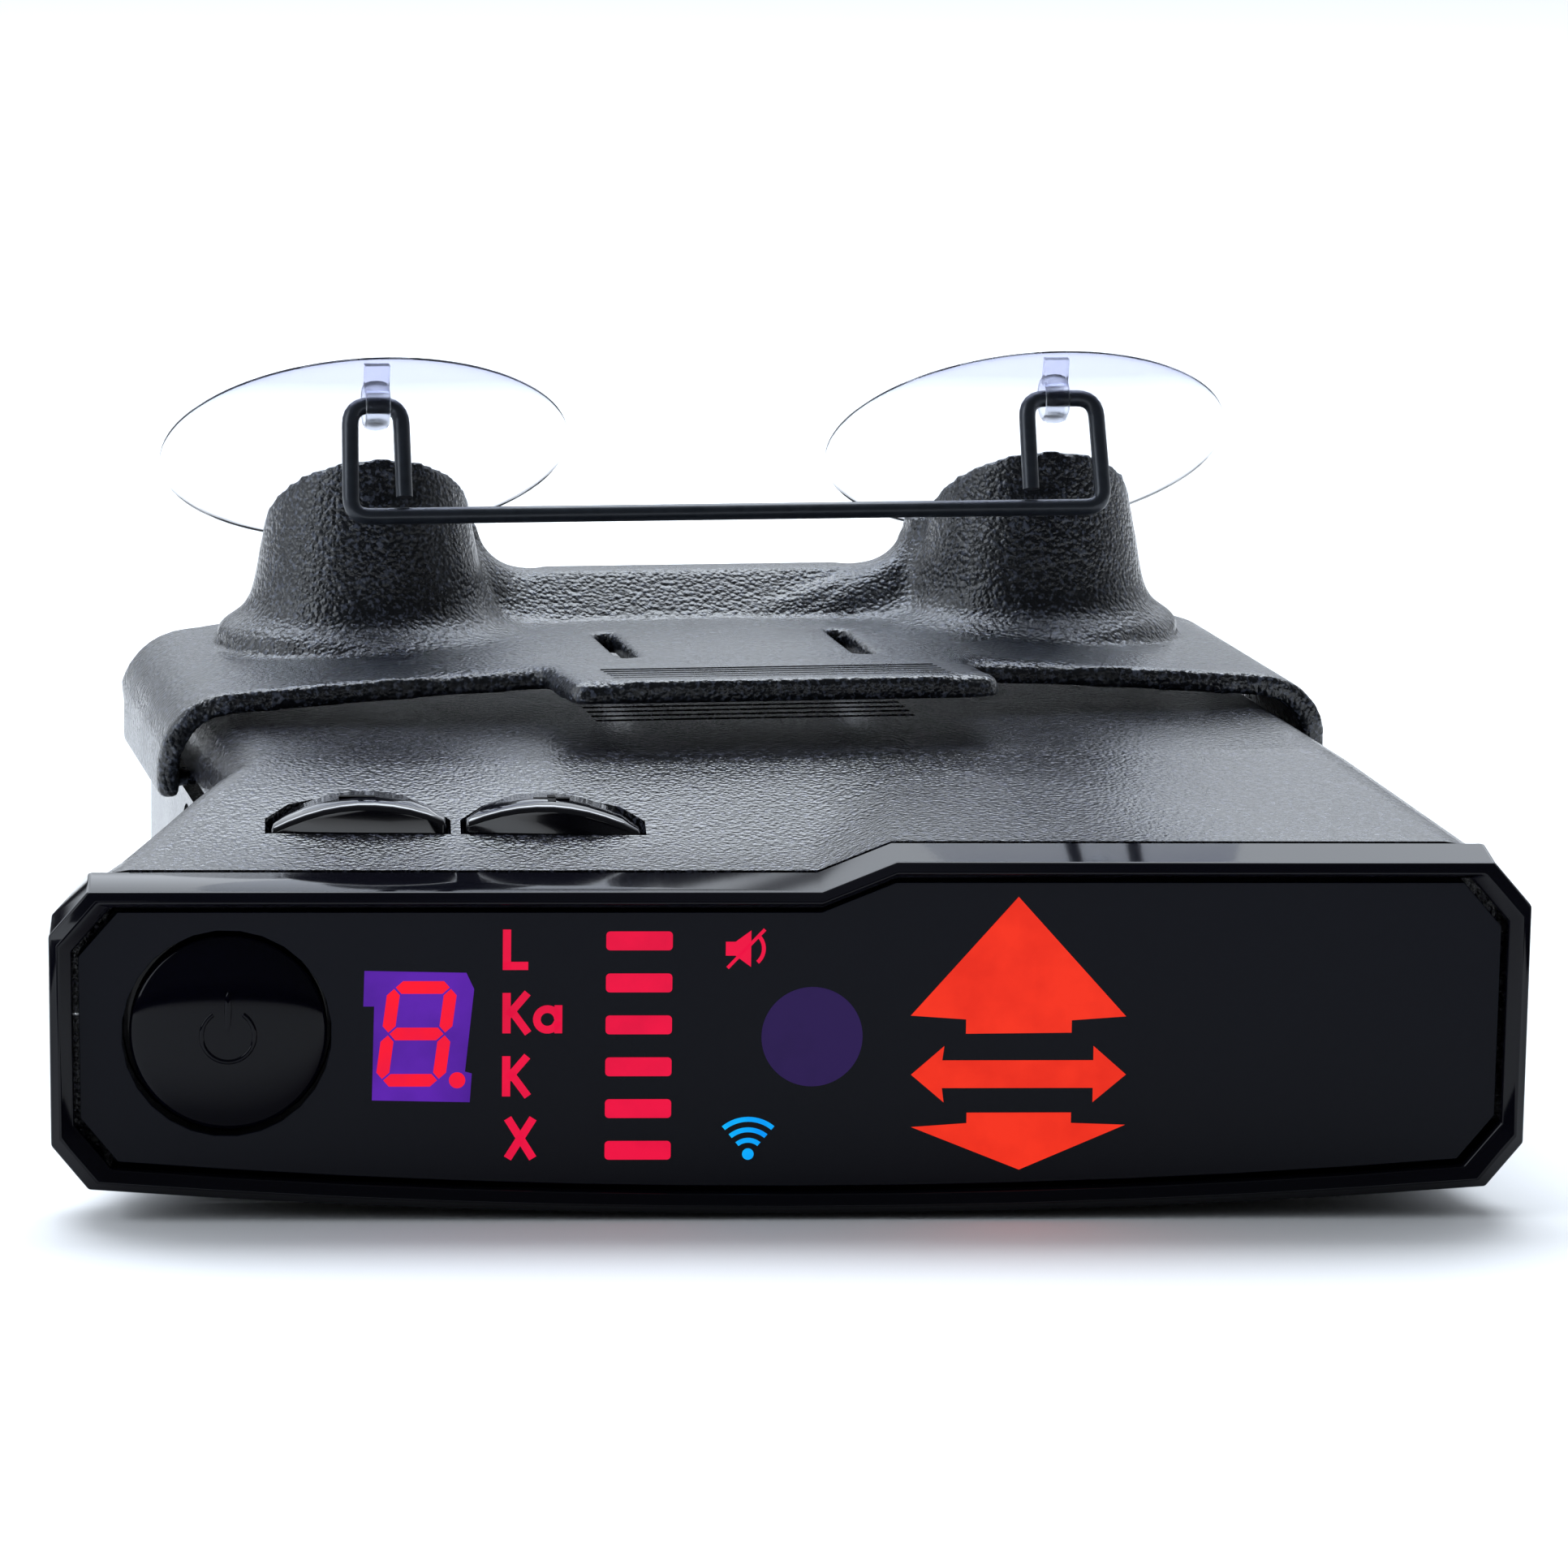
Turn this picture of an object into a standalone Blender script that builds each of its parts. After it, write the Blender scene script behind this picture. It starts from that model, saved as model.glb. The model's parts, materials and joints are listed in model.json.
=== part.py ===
"""Radar detector whose display is turned towards the driver, on a slide-on bracket with two suction cups.

Lengths are millimetres from three datums: x from the case's centre plane, y rearwards from the middle
of the display face, z up from the underside. place() turns them into metres about the middle of the
object's footprint. On the display face itself, u runs along the face, w into it and z up.
"""

import math

import bmesh
import bpy
from mathutils import Matrix, Vector

MM = 0.001
GAP = 0.3  # clearance between two neighbouring pieces
SEAM = 0.1  # between the two halves of the case
ROUND_SIDES = 28

# Display face
FACE_WIDTH = 76.0
FACE_TURN = math.radians(7.1)  # turned towards the driver
FACE_SHIFT = -4.3  # the face's middle lies off the case's centre plane
FACE_TOP_LEFT = 17.0
FACE_TOP_RIGHT = 18.55
FACE_LOW = 0.15
FACE_CROWN = 1.35  # how far the lower edge rises from its middle to its ends
FACE_FLANK = 0.1  # how far the sides draw in towards the bottom
STEP_START = 1.4
STEP_END = 5.2
CORNER_WIDE = 2.0
CORNER_HIGH = 2.3
BEZEL_DEPTH = 4.5
BEZEL_DRAFT = 0.3
BEZEL_EDGE = 0.5  # chamfer round the front of the bezel
FRAME_SIDE = 1.2
FRAME_TOP = 0.8
FRAME_BOTTOM = 1.1
WINDOW_FRONT = 0.8
WINDOW_THICK = 1.6

# Case
CASE_HALF = 31.2
TAIL_START = 57.0
TAIL_HALF = 25.8  # the case narrows and sinks towards its rear
TAIL_TOP = 15.6
CASE_REAR = 100.0
CASE_TOP = 20.5
CASE_WALL = 1.6
CASE_INSET = 0.9  # the case's front end lies inside the bezel's outline by this much
FLARE_END_LEFT = 24.0
FLARE_END_RIGHT = 20.0
SHOULDER = 3.0
REAR_ROUND = 4.0
PARTING = 9.8
RAIL_GROOVE_LOW = 16.2
RAIL_GROOVE_HIGH = 17.6
RAIL_GROOVE_DEEP = 1.0

# Openings in the case
REAR_WINDOW_HALF = 18.0
REAR_WINDOW_LOW = 10.7
REAR_WINDOW_HIGH = 13.0
LOUVRE_HALF = 9.0
LOUVRE_WIDE = 0.6
LOUVRE_PITCH = 1.5
LOUVRE_COUNT = 5
SPEAKER_Y = 37.0
SPEAKER_RADIUS = 9.5
JACK_Y = 38.0
JACK_RADIUS = 2.6
JACK_Z = RAIL_GROOVE_LOW - JACK_RADIUS - 3 * GAP
USB_Y = 52.0
USB_LONG = 8.0
USB_HIGH = 2.7

# Power button
POWER_U = -28.95
POWER_Z = 9.6
POWER_RADIUS = 5.05
POWER_TRAVEL = 0.5
POWER_STEM = 1.3

# Minus and plus keys
KEY_LONG = 9.1
KEY_DEEP = 4.2
KEY_RISE = 1.3
KEY_SINK = 0.35  # the ends of the arch dip below the case's top by this much
KEY_TRAVEL = 0.5
KEY_FRONT_W = 10.4
KEY_CENTRES = {"minus_button": -22.2, "plus_button": -12.0}
KEY_POINT = {"minus_button": -1.0, "plus_button": 1.0}  # the end that tapers to a point
KEY_BLUNT = 0.8  # the inner end stops at this share of the arch's half-length
KEY_STEM = 2.0
SWITCH_HIGH = 3.6

# Boards
BOARD_THICK = 1.2
MAIN_BOARD_Z = 4.6
MAIN_BOARD_FRONT = 33.0
MAIN_BOARD_REAR = 84.0
MAIN_BOARD_HALF = 25.0
DISPLAY_BOARD_W = 9.4
DISPLAY_BOARD_LOW = 3.4
DISPLAY_BOARD_HIGH = 14.6

# Screws
SCREW_FRONT = (26.4, 28.6)
SCREW_REAR = (20.5, 91.0)
SCREW_RADIUS = 1.0
SCREW_HEAD_RADIUS = 2.1
SCREW_HEAD_HIGH = 1.4
SCREW_RECESS = 2.2
SCREW_LONG = 13.0
BOSS_RADIUS = 3.2

# Bracket
WING_HALF = 33.1
WING_LOW = 16.3
WING_WALL = 1.25
WING_SHOULDER = 4.1
DECK_TOP = 23.7
DECK_CROWN = 1.4
WING_FRONT = 35.6
DECK_FRONT = 34.2
WING_REAR = 54.5
DECK_REAR = 59.5
RAIL_LONG = 17.0
TONGUE_HALF = 12.0
TONGUE_FRONT = 24.6
TONGUE_TOP = 24.2
TONGUE_THICK = 1.3
SLOT_X = 6.7
SLOT_WIDE = 1.1
SLOT_FRONT = 36.8
SLOT_LONG = 9.0
RIDGE_Y = 53.2
RIDGE_THICK = 2.6
RIDGE_TOP = 26.1
RIDGE_SLOPE = 1.3  # run of the ridge's front face for each millimetre of height
RIDGE_HALF = 9.8
RIDGE_FILLET = 3.0

# Posts, suction cups and release wire
POST_X = 19.35
POST_Y = 51.3
POST_TOP = 30.5  # height of the middle of the slanted top
POST_TOP_RADIUS = 5.1
POST_FOOT_RADIUS = 6.6
POST_FILLET = 2.2
CUP_TILT = math.radians(33.0)  # the cups face up and back, as a windscreen does
CUP_RADIUS = 11.75
CUP_HIGH = 3.45
CUP_NECK_RADIUS = 2.7
CUP_NECK_DEEP = 3.6
TAB_X = {-1: -19.95, 1: 19.0}
TAB_WIDE = 1.4
TAB_THICK = 0.6
WIRE_RADIUS = 0.475
WIRE_TOP_Y = 44.2
WIRE_TOP_Z = 36.9
WIRE_LOW_Y = 42.2
WIRE_LOW_Z = 30.9
WIRE_INNER_X = {-1: -18.55, 1: 17.4}
WIRE_OUTER_X = 21.6
WIRE_BEND = 1.0

# The footprint's middle, which is the object's origin
FACE_HALF_RUN = FACE_WIDTH / 2 * math.cos(FACE_TURN)
FRONT_Y = -(FACE_WIDTH / 2 - BEZEL_EDGE) * math.sin(FACE_TURN)
LEFT_X = FACE_SHIFT - FACE_HALF_RUN
RIGHT_X = FACE_SHIFT + FACE_HALF_RUN + BEZEL_DEPTH * math.sin(FACE_TURN)
ORIGIN = Vector(((LEFT_X + RIGHT_X) / 2, (FRONT_Y + CASE_REAR) / 2, 0.0))


# ---------------------------------------------------------------- helpers


def place(point):
    """A design point in millimetres as a point of the object's frame in metres."""
    return (Vector(point) - ORIGIN) * MM


def face_point(u, w, z):
    """A point given along (u) and into (w) the display face."""
    x = FACE_SHIFT + u * math.cos(FACE_TURN) + w * math.sin(FACE_TURN)
    y = -u * math.sin(FACE_TURN) + w * math.cos(FACE_TURN)
    return Vector((x, y, z))


def face_direction():
    """The direction straight into the display face."""
    return Vector((math.sin(FACE_TURN), math.cos(FACE_TURN), 0.0))


def material(name, color, roughness, metallic=0.0, alpha=1.0):
    """A Principled material."""
    made = bpy.data.materials.new(name)
    made.use_nodes = True
    shader = made.node_tree.nodes["Principled BSDF"]
    shader.inputs["Base Color"].default_value = (*color, 1.0)
    shader.inputs["Roughness"].default_value = roughness
    shader.inputs["Metallic"].default_value = metallic
    shader.inputs["Alpha"].default_value = alpha
    made.diffuse_color = (*color, 1.0)
    return made


def finish(name, mesh, look=None, pivot=None, cutter=False):
    """Turn a bmesh in design millimetres into an object whose origin is the pivot."""
    bmesh.ops.remove_doubles(mesh, verts=mesh.verts, dist=1e-5)
    bmesh.ops.recalc_face_normals(mesh, faces=mesh.faces)
    origin = place(pivot) if pivot is not None else Vector((0.0, 0.0, 0.0))
    for vert in mesh.verts:
        vert.co = place(vert.co) - origin
    data = bpy.data.meshes.new(name)
    mesh.to_mesh(data)
    mesh.free()
    made = bpy.data.objects.new(name, data)
    made.location = origin
    bpy.context.collection.objects.link(made)
    if cutter:
        made.hide_render = True
        made.display_type = "WIRE"
        return made
    data.materials.append(look)
    data.shade_smooth()
    data.set_sharp_from_angle(angle=math.radians(35))
    return made


def combine(target, tool, operation):
    """Give the target a Boolean with a hidden tool object."""
    change = target.modifiers.new(operation.title(), "BOOLEAN")
    change.operation = operation
    change.solver = "EXACT"
    change.object = tool


def loft(mesh, sections, closed=True, ends=True):
    """Skin a list of sections that all have the same number of points."""
    rows = [[mesh.verts.new(point) for point in section] for section in sections]
    count = len(rows[0])
    last = count if closed else count - 1
    for row, after in zip(rows, rows[1:]):
        for k in range(last):
            nxt = (k + 1) % count
            mesh.faces.new((row[k], row[nxt], after[nxt], after[k]))
    if ends:
        mesh.faces.new(list(reversed(rows[0])))
        mesh.faces.new(rows[-1])
    return rows


def ring(mesh, loops):
    """Skin a closed run of closed loops, the last one back to the first."""
    loft(mesh, loops + [loops[0]], closed=True, ends=False)


def box(mesh, low, high):
    """A box between two corners."""
    size = Vector(high) - Vector(low)
    middle = (Vector(high) + Vector(low)) / 2
    matrix = Matrix.Translation(middle) @ Matrix.Diagonal((*size, 1.0))
    bmesh.ops.create_cube(mesh, size=1.0, matrix=matrix)


def face_box(mesh, u_range, w_range, z_range):
    """A box square to the display face."""
    corners = []
    for z in z_range:
        corners.append([face_point(u, w, z) for u, w in (
            (u_range[0], w_range[0]), (u_range[1], w_range[0]),
            (u_range[1], w_range[1]), (u_range[0], w_range[1]))])
    loft(mesh, corners)


def turned(mesh, profile, centre, axis, sides=ROUND_SIDES):
    """Spin a profile of (radius, height) points, from pole to pole, about an axis."""
    turn = Vector((0.0, 0.0, 1.0)).rotation_difference(Vector(axis)).to_matrix().to_4x4()
    matrix = Matrix.Translation(Vector(centre)) @ turn
    rows = []
    for radius, height in profile:
        if radius == 0.0:
            rows.append([mesh.verts.new(matrix @ Vector((0.0, 0.0, height)))] * sides)
            continue
        row = []
        for k in range(sides):
            angle = 2 * math.pi * k / sides
            spot = Vector((radius * math.cos(angle), radius * math.sin(angle), height))
            row.append(mesh.verts.new(matrix @ spot))
        rows.append(row)
    for row, after in zip(rows, rows[1:]):
        for k in range(sides):
            nxt = (k + 1) % sides
            corners = dict.fromkeys((row[k], row[nxt], after[nxt], after[k]))
            mesh.faces.new(list(corners))


def rod(mesh, centre, axis, radius, start, end, sides=ROUND_SIDES):
    """A plain cylinder from start to end along an axis."""
    turned(mesh, [(0.0, start), (radius, start), (radius, end), (0.0, end)], centre, axis, sides)


def mix(a, b, share):
    """Between a and b."""
    return a + (b - a) * share


def arc(centre, radius, start, end, steps):
    """Points on an arc, angles in degrees, both ends included."""
    points = []
    for k in range(steps + 1):
        angle = math.radians(mix(start, end, k / steps))
        points.append((centre[0] + radius * math.cos(angle), centre[1] + radius * math.sin(angle)))
    return points


# ---------------------------------------------------------------- display end


def face_outline(side_in=0.0, top_in=0.0, bottom_in=0.0):
    """The display face's outline as (u, z) points, drawn in from its sides, top and bottom."""
    half = FACE_WIDTH / 2 - side_in
    foot = half - FACE_FLANK
    flat = foot - CORNER_WIDE + FACE_FLANK
    low_end = FACE_LOW + FACE_CROWN + bottom_in
    points = []
    for k in range(13):
        u = mix(-flat, flat, k / 12)
        points.append((u, FACE_LOW + bottom_in + FACE_CROWN * (u / flat) ** 2))
    points.append((foot, low_end + CORNER_HIGH))
    points.append((half, FACE_TOP_RIGHT - top_in - CORNER_HIGH))
    points.append((half - CORNER_WIDE, FACE_TOP_RIGHT - top_in))
    points.append((STEP_END, FACE_TOP_RIGHT - top_in))
    points.append((STEP_START, FACE_TOP_LEFT - top_in))
    points.append((-(half - CORNER_WIDE), FACE_TOP_LEFT - top_in))
    points.append((-half, FACE_TOP_LEFT - top_in - CORNER_HIGH))
    points.append((-foot, low_end + CORNER_HIGH))
    return points


def face_loop(w, side_in=0.0, top_in=0.0, bottom_in=0.0):
    """The outline at a depth w as points in space."""
    return [face_point(u, w, z) for u, z in face_outline(side_in, top_in, bottom_in)]


def make_bezel(look):
    """Gloss frame round the display."""
    mesh = bmesh.new()
    ring(mesh, [
        face_loop(BEZEL_EDGE, FRAME_SIDE, FRAME_TOP, FRAME_BOTTOM),
        face_loop(0.0, BEZEL_EDGE, BEZEL_EDGE, BEZEL_EDGE),
        face_loop(BEZEL_EDGE),
        face_loop(BEZEL_DEPTH, 0.0, -BEZEL_DRAFT, 0.0),
        face_loop(BEZEL_DEPTH, FRAME_SIDE, FRAME_TOP, FRAME_BOTTOM),
    ])
    return finish("front_bezel", mesh, look)


def make_window(look):
    """Smoked display window with a round hole for the power button."""
    mesh = bmesh.new()
    insets = (FRAME_SIDE + GAP, FRAME_TOP + GAP, FRAME_BOTTOM + GAP)
    loft(mesh, [face_loop(w, *insets) for w in (WINDOW_FRONT, WINDOW_FRONT + WINDOW_THICK)])
    window = finish("display_window", mesh, look)
    hole = bmesh.new()
    rod(hole, face_point(POWER_U, 0.0, POWER_Z), face_direction(), POWER_RADIUS + GAP, -1.0, 4.0)
    combine(window, finish("window_hole", hole, cutter=True), "DIFFERENCE")
    return window


def make_power_button(look):
    """Domed button, flanged behind the window, with a plunger for its switch."""
    mesh = bmesh.new()
    flange_w = WINDOW_FRONT + WINDOW_THICK + GAP
    profile = [(0.0, 0.1), (2.2, 0.2), (3.8, 0.45), (4.75, 0.8), (POWER_RADIUS, 1.2),
               (POWER_RADIUS, flange_w), (POWER_RADIUS + 0.8, flange_w), (POWER_RADIUS + 0.8, flange_w + 0.7),
               (POWER_STEM, flange_w + 0.7), (POWER_STEM, flange_w + 2.2), (0.0, flange_w + 2.2)]
    centre = face_point(POWER_U, 0.0, POWER_Z)
    turned(mesh, profile, centre, face_direction())
    return finish("power_button", mesh, look, pivot=centre)


def make_power_switch(look):
    """Push switch on the display board, behind the power button."""
    mesh = bmesh.new()
    stem_end = WINDOW_FRONT + WINDOW_THICK + GAP + 2.2
    front = stem_end + POWER_TRAVEL + GAP
    back = DISPLAY_BOARD_W - GAP
    face_box(mesh, (POWER_U - 3.0, POWER_U + 3.0), (front, back), (POWER_Z - 3.0, POWER_Z + 3.0))
    return finish("power_switch", mesh, look)


def make_display_board(look):
    """Board behind the display, square to it."""
    mesh = bmesh.new()
    face_box(mesh, (-31.0, 31.0), (DISPLAY_BOARD_W, DISPLAY_BOARD_W + BOARD_THICK),
             (DISPLAY_BOARD_LOW, DISPLAY_BOARD_HIGH))
    return finish("display_board", mesh, look)


def make_light_block(name, u_range, z_range, look):
    """A lamp or light guide that stands on the display board and reaches the window."""
    mesh = bmesh.new()
    front = WINDOW_FRONT + WINDOW_THICK + GAP
    face_box(mesh, u_range, (front, DISPLAY_BOARD_W - GAP), z_range)
    return finish(name, mesh, look)


def make_light_sensor(look):
    """Round sensor behind the window."""
    mesh = bmesh.new()
    front = WINDOW_FRONT + WINDOW_THICK + GAP
    rod(mesh, face_point(1.0, 0.0, 9.4), face_direction(), 2.5, front, DISPLAY_BOARD_W - GAP, 20)
    return finish("light_sensor", mesh, look)


# ---------------------------------------------------------------- case


def tail_share(y):
    """How far along the tail a place is: 0 ahead of it and 1 at the rear."""
    return max(0.0, (y - TAIL_START) / (CASE_REAR - TAIL_START))


def tail_half(y):
    """Half the case's width behind the flare: parallel, then narrowing to the rear."""
    return mix(CASE_HALF, TAIL_HALF, tail_share(y))


def tail_fall(y):
    """How far the case's top has sunk at a place along the tail."""
    return (CASE_TOP - TAIL_TOP) * tail_share(y)


def case_stations(sinks):
    """Plan of the case: (left end, right end, share of the way from the face's form to the plain form,
    inset of the top or the bottom); sinks is 1 for the half whose tail sinks and 0 for the other."""
    reach = FACE_WIDTH / 2 - CASE_INSET
    left = face_point(-reach, BEZEL_DEPTH, 0.0)
    right = face_point(reach, BEZEL_DEPTH, 0.0)
    stations = []
    for share in (0.0, 0.2, 0.45, 0.7, 0.88, 1.0):
        here_left = Vector((mix(left.x, -CASE_HALF, share), mix(left.y, FLARE_END_LEFT, share)))
        here_right = Vector((mix(right.x, CASE_HALF, share), mix(right.y, FLARE_END_RIGHT, share)))
        stations.append((here_left, here_right, share, 0.0))
    for y in (30.0, TAIL_START - 4.0, TAIL_START, TAIL_START + 4.0):
        half = tail_half(y)
        stations.append((Vector((-half, y)), Vector((half, y)), 1.0, sinks * tail_fall(y)))
    for k in range(5):
        angle = math.radians(90.0 * k / 4)
        inset = REAR_ROUND * (1.0 - math.cos(angle))
        y = CASE_REAR - REAR_ROUND + REAR_ROUND * math.sin(angle)
        half = tail_half(y) - inset
        level = inset * 0.5 + sinks * tail_fall(y)
        stations.append((Vector((-half, y)), Vector((half, y)), 1.0, level))
    return stations


def across(left, right, run, z):
    """A point at a distance run from the left end of a station."""
    width = (right - left).length
    plan = left + (right - left) * (run / width)
    return Vector((plan.x, plan.y, z))


def top_heights(share):
    """Case top at the left and at the right, for a share of the way to the plain form."""
    eased = share * share * (3.0 - 2.0 * share)
    return (mix(FACE_TOP_LEFT + BEZEL_DRAFT, CASE_TOP, mix(share, eased, 0.5)),
            mix(FACE_TOP_RIGHT + BEZEL_DRAFT, CASE_TOP, share))


def upper_section(left, right, share, inset):
    """Upper half of a station, from the parting line over the top and down again."""
    width = (right - left).length
    top_left, top_right = top_heights(share)
    top_left -= inset
    top_right -= inset
    step = width / 2 + STEP_START
    step_end = width / 2 + STEP_END
    flat = [(0.0, PARTING + SEAM / 2)]
    flat += [(SHOULDER + x, top_left - SHOULDER + z) for x, z in arc((0, 0), SHOULDER, 180, 90, 5)]
    flat += [(width * 0.28, top_left), (step - 1.0, top_left), (step, top_left), (step_end, top_right),
             (step_end + 1.0, top_right), (width * 0.74, top_right)]
    flat += [(width - SHOULDER + x, top_right - SHOULDER + z) for x, z in arc((0, 0), SHOULDER, 90, 0, 5)]
    flat += [(width, PARTING + SEAM / 2)]
    return [across(left, right, run, z) for run, z in flat]


def lower_section(left, right, share, inset):
    """Lower half of a station, from the parting line under the case and up again."""
    width = (right - left).length
    crown = FACE_CROWN * (1.0 - share)
    edge = crown + inset
    flat = [(width, PARTING - SEAM / 2)]
    flat += [(width - SHOULDER + x, SHOULDER + edge + z) for x, z in arc((0, 0), SHOULDER, 0, -90, 5)]
    for k in range(1, 6):
        across_share = 1.0 - k / 6
        flat.append((mix(SHOULDER, width - SHOULDER, across_share),
                     inset + crown * (2.0 * across_share - 1.0) ** 2))
    flat += [(SHOULDER + x, SHOULDER + edge + z) for x, z in arc((0, 0), SHOULDER, -90, -180, 5)]
    flat += [(0.0, PARTING - SEAM / 2)]
    return [across(left, right, run, z) for run, z in flat]


def shell(name, section, sinks, look):
    """Half of the case: an outer skin, closed at the rear, thickened inwards."""
    mesh = bmesh.new()
    rows = loft(mesh, [section(*station) for station in case_stations(sinks)], closed=False, ends=False)
    mesh.faces.new(rows[-1])
    made = finish(name, mesh, look)
    wall = made.modifiers.new("Wall", "SOLIDIFY")
    wall.thickness = CASE_WALL * MM
    wall.offset = -1.0
    wall.use_even_offset = True
    return made


def trim_front(cuts):
    """Square the case's front end off just behind the bezel."""
    face_box(cuts, (-FACE_WIDTH, FACE_WIDTH), (-BEZEL_DEPTH, BEZEL_DEPTH + GAP), (-5.0, CASE_TOP + 5.0))


def screw_places():
    """The four case screws."""
    return [(side * x, y) for x, y in (SCREW_FRONT, SCREW_REAR) for side in (-1, 1)]


def make_lower_case(look):
    """Tub with four screw bosses and a data socket opening."""
    made = shell("lower_case", lower_section, 0, look)
    bosses = bmesh.new()
    for x, y in screw_places():
        rod(bosses, (x, y, 0), (0, 0, 1), BOSS_RADIUS, CASE_WALL / 2, PARTING - GAP, 16)
    combine(made, finish("lower_bosses", bosses, cutter=True), "UNION")
    cuts = bmesh.new()
    bore = SCREW_RADIUS + GAP
    recess = SCREW_HEAD_RADIUS + GAP
    for x, y in screw_places():
        turned(cuts, [(0.0, -1.0), (recess, -1.0), (recess, SCREW_RECESS), (bore, SCREW_RECESS),
                      (bore, PARTING + 1.0), (0.0, PARTING + 1.0)], (x, y, 0), (0, 0, 1), 16)
    trim_front(cuts)
    low = MAIN_BOARD_Z + BOARD_THICK
    box(cuts, (-CASE_HALF - 1, USB_Y - USB_LONG / 2 - GAP, low - 0.1),
        (-CASE_HALF + CASE_WALL + 0.5, USB_Y + USB_LONG / 2 + GAP, low + USB_HIGH + 2 * GAP))
    combine(made, finish("lower_cuts", cuts, cutter=True), "DIFFERENCE")
    return made


def key_surface(name):
    """Height of the case's top under a key."""
    depth = KEY_FRONT_W + KEY_DEEP / 2 - BEZEL_DEPTH - GAP
    run = FLARE_END_LEFT - face_point(-FACE_WIDTH / 2, BEZEL_DEPTH, 0).y
    slope = FLARE_END_RIGHT - face_point(FACE_WIDTH / 2, BEZEL_DEPTH, 0).y
    along = 0.5 + KEY_CENTRES[name] / FACE_WIDTH
    return top_heights(depth / mix(run, slope, along))[0]


def key_depth(q):
    """Depth of a key at q, from -1 to 1 along its length."""
    return 1.3 + (KEY_DEEP - 1.3) * math.sqrt(max(0.0, 1.0 - q * q))


def key_plan(name, grow):
    """Outline of a key in plan as (u, w) points, grown outwards by a clearance."""
    centre = KEY_CENTRES[name]
    half = KEY_LONG / 2
    points = [(centre - half - grow, KEY_FRONT_W - grow), (centre + half + grow, KEY_FRONT_W - grow)]
    for k in range(9):
        q = 1.0 - 2.0 * k / 8
        points.append((centre + q * (half + grow), KEY_FRONT_W + key_depth(q) + grow))
    return points


def make_upper_case(look):
    """Lid with openings for keys, sound, power lead, bracket rails and the rear window."""
    made = shell("upper_case", upper_section, 1, look)
    posts = bmesh.new()
    for x, y in screw_places():
        roof = CASE_TOP - tail_fall(y + BOSS_RADIUS) - CASE_WALL / 2
        rod(posts, (x, y, 0), (0, 0, 1), BOSS_RADIUS - 0.5, PARTING + GAP, roof, 16)
    combine(made, finish("upper_bosses", posts, cutter=True), "UNION")
    cuts = bmesh.new()
    for x, y in screw_places():
        rod(cuts, (x, y, 0), (0, 0, 1), SCREW_RADIUS + GAP, PARTING - 1.0, SCREW_LONG + 1.3, 16)
    trim_front(cuts)
    for name in KEY_CENTRES:
        outline = key_plan(name, GAP)
        loft(cuts, [[face_point(u, w, z) for u, w in outline] for z in (13.0, CASE_TOP + 3.0)])
    first = SPEAKER_Y - LOUVRE_PITCH * (LOUVRE_COUNT - 1) / 2
    for k in range(LOUVRE_COUNT):
        y = first + k * LOUVRE_PITCH
        box(cuts, (-LOUVRE_HALF, y - LOUVRE_WIDE / 2, CASE_TOP - 3.0),
            (LOUVRE_HALF, y + LOUVRE_WIDE / 2, CASE_TOP + 1.0))
    rod(cuts, (-CASE_HALF, JACK_Y, JACK_Z), (1, 0, 0), JACK_RADIUS + GAP, -1.0, CASE_WALL + 0.5, 24)
    for side in (-1, 1):
        inner = side * (CASE_HALF - RAIL_GROOVE_DEEP)
        outer = side * (CASE_HALF + 1.0)
        box(cuts, (min(inner, outer), FLARE_END_LEFT + 0.5, RAIL_GROOVE_LOW),
            (max(inner, outer), CASE_REAR + 1.0, RAIL_GROOVE_HIGH))
    box(cuts, (-REAR_WINDOW_HALF, CASE_REAR - CASE_WALL - 1.0, REAR_WINDOW_LOW),
        (REAR_WINDOW_HALF, CASE_REAR + 1.0, REAR_WINDOW_HIGH))
    combine(made, finish("upper_cuts", cuts, cutter=True), "DIFFERENCE")
    return made


def make_key(name, look):
    """Arched key with a flange under the case's top and a plunger."""
    surface = key_surface(name)
    centre = KEY_CENTRES[name]
    half = KEY_LONG / 2
    low = surface - CASE_WALL - 1.0
    mesh = bmesh.new()
    sections = []
    for k in range(11):
        q = -1.0 + 2.0 * k / 10
        u = centre + q * half
        inward = (1.0 - KEY_POINT[name] * q) / 2
        top = surface - KEY_SINK + KEY_RISE * (1.0 - mix(1.0, -KEY_BLUNT, inward) ** 2)
        back = KEY_FRONT_W + key_depth(q)
        sections.append([face_point(u, KEY_FRONT_W, low), face_point(u, KEY_FRONT_W, top - 0.15),
                         face_point(u, KEY_FRONT_W + 0.25, top), face_point(u, back - 0.3, top + 0.05),
                         face_point(u, back, top - 0.15), face_point(u, back, low)])
    loft(mesh, sections)
    pivot = face_point(centre, KEY_FRONT_W + KEY_DEEP / 2, surface)
    key = finish(name, mesh, look, pivot=pivot)
    stem = bmesh.new()
    middle = KEY_FRONT_W + KEY_DEEP / 2
    switch_top = MAIN_BOARD_Z + BOARD_THICK + GAP + SWITCH_HIGH
    face_box(stem, (centre - KEY_STEM / 2, centre + KEY_STEM / 2), (middle - KEY_STEM / 2, middle + KEY_STEM / 2),
             (switch_top + KEY_TRAVEL + GAP, low + 0.4))
    combine(key, finish(name + "_stem", stem, cutter=True), "UNION")
    flange = bmesh.new()
    face_box(flange, (centre - half - 0.4, centre + half + 0.4), (KEY_FRONT_W - 0.7, KEY_FRONT_W + KEY_DEEP + 0.7),
             (low - 0.5, low + 0.3))
    combine(key, finish(name + "_flange", flange, cutter=True), "UNION")
    return key


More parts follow.
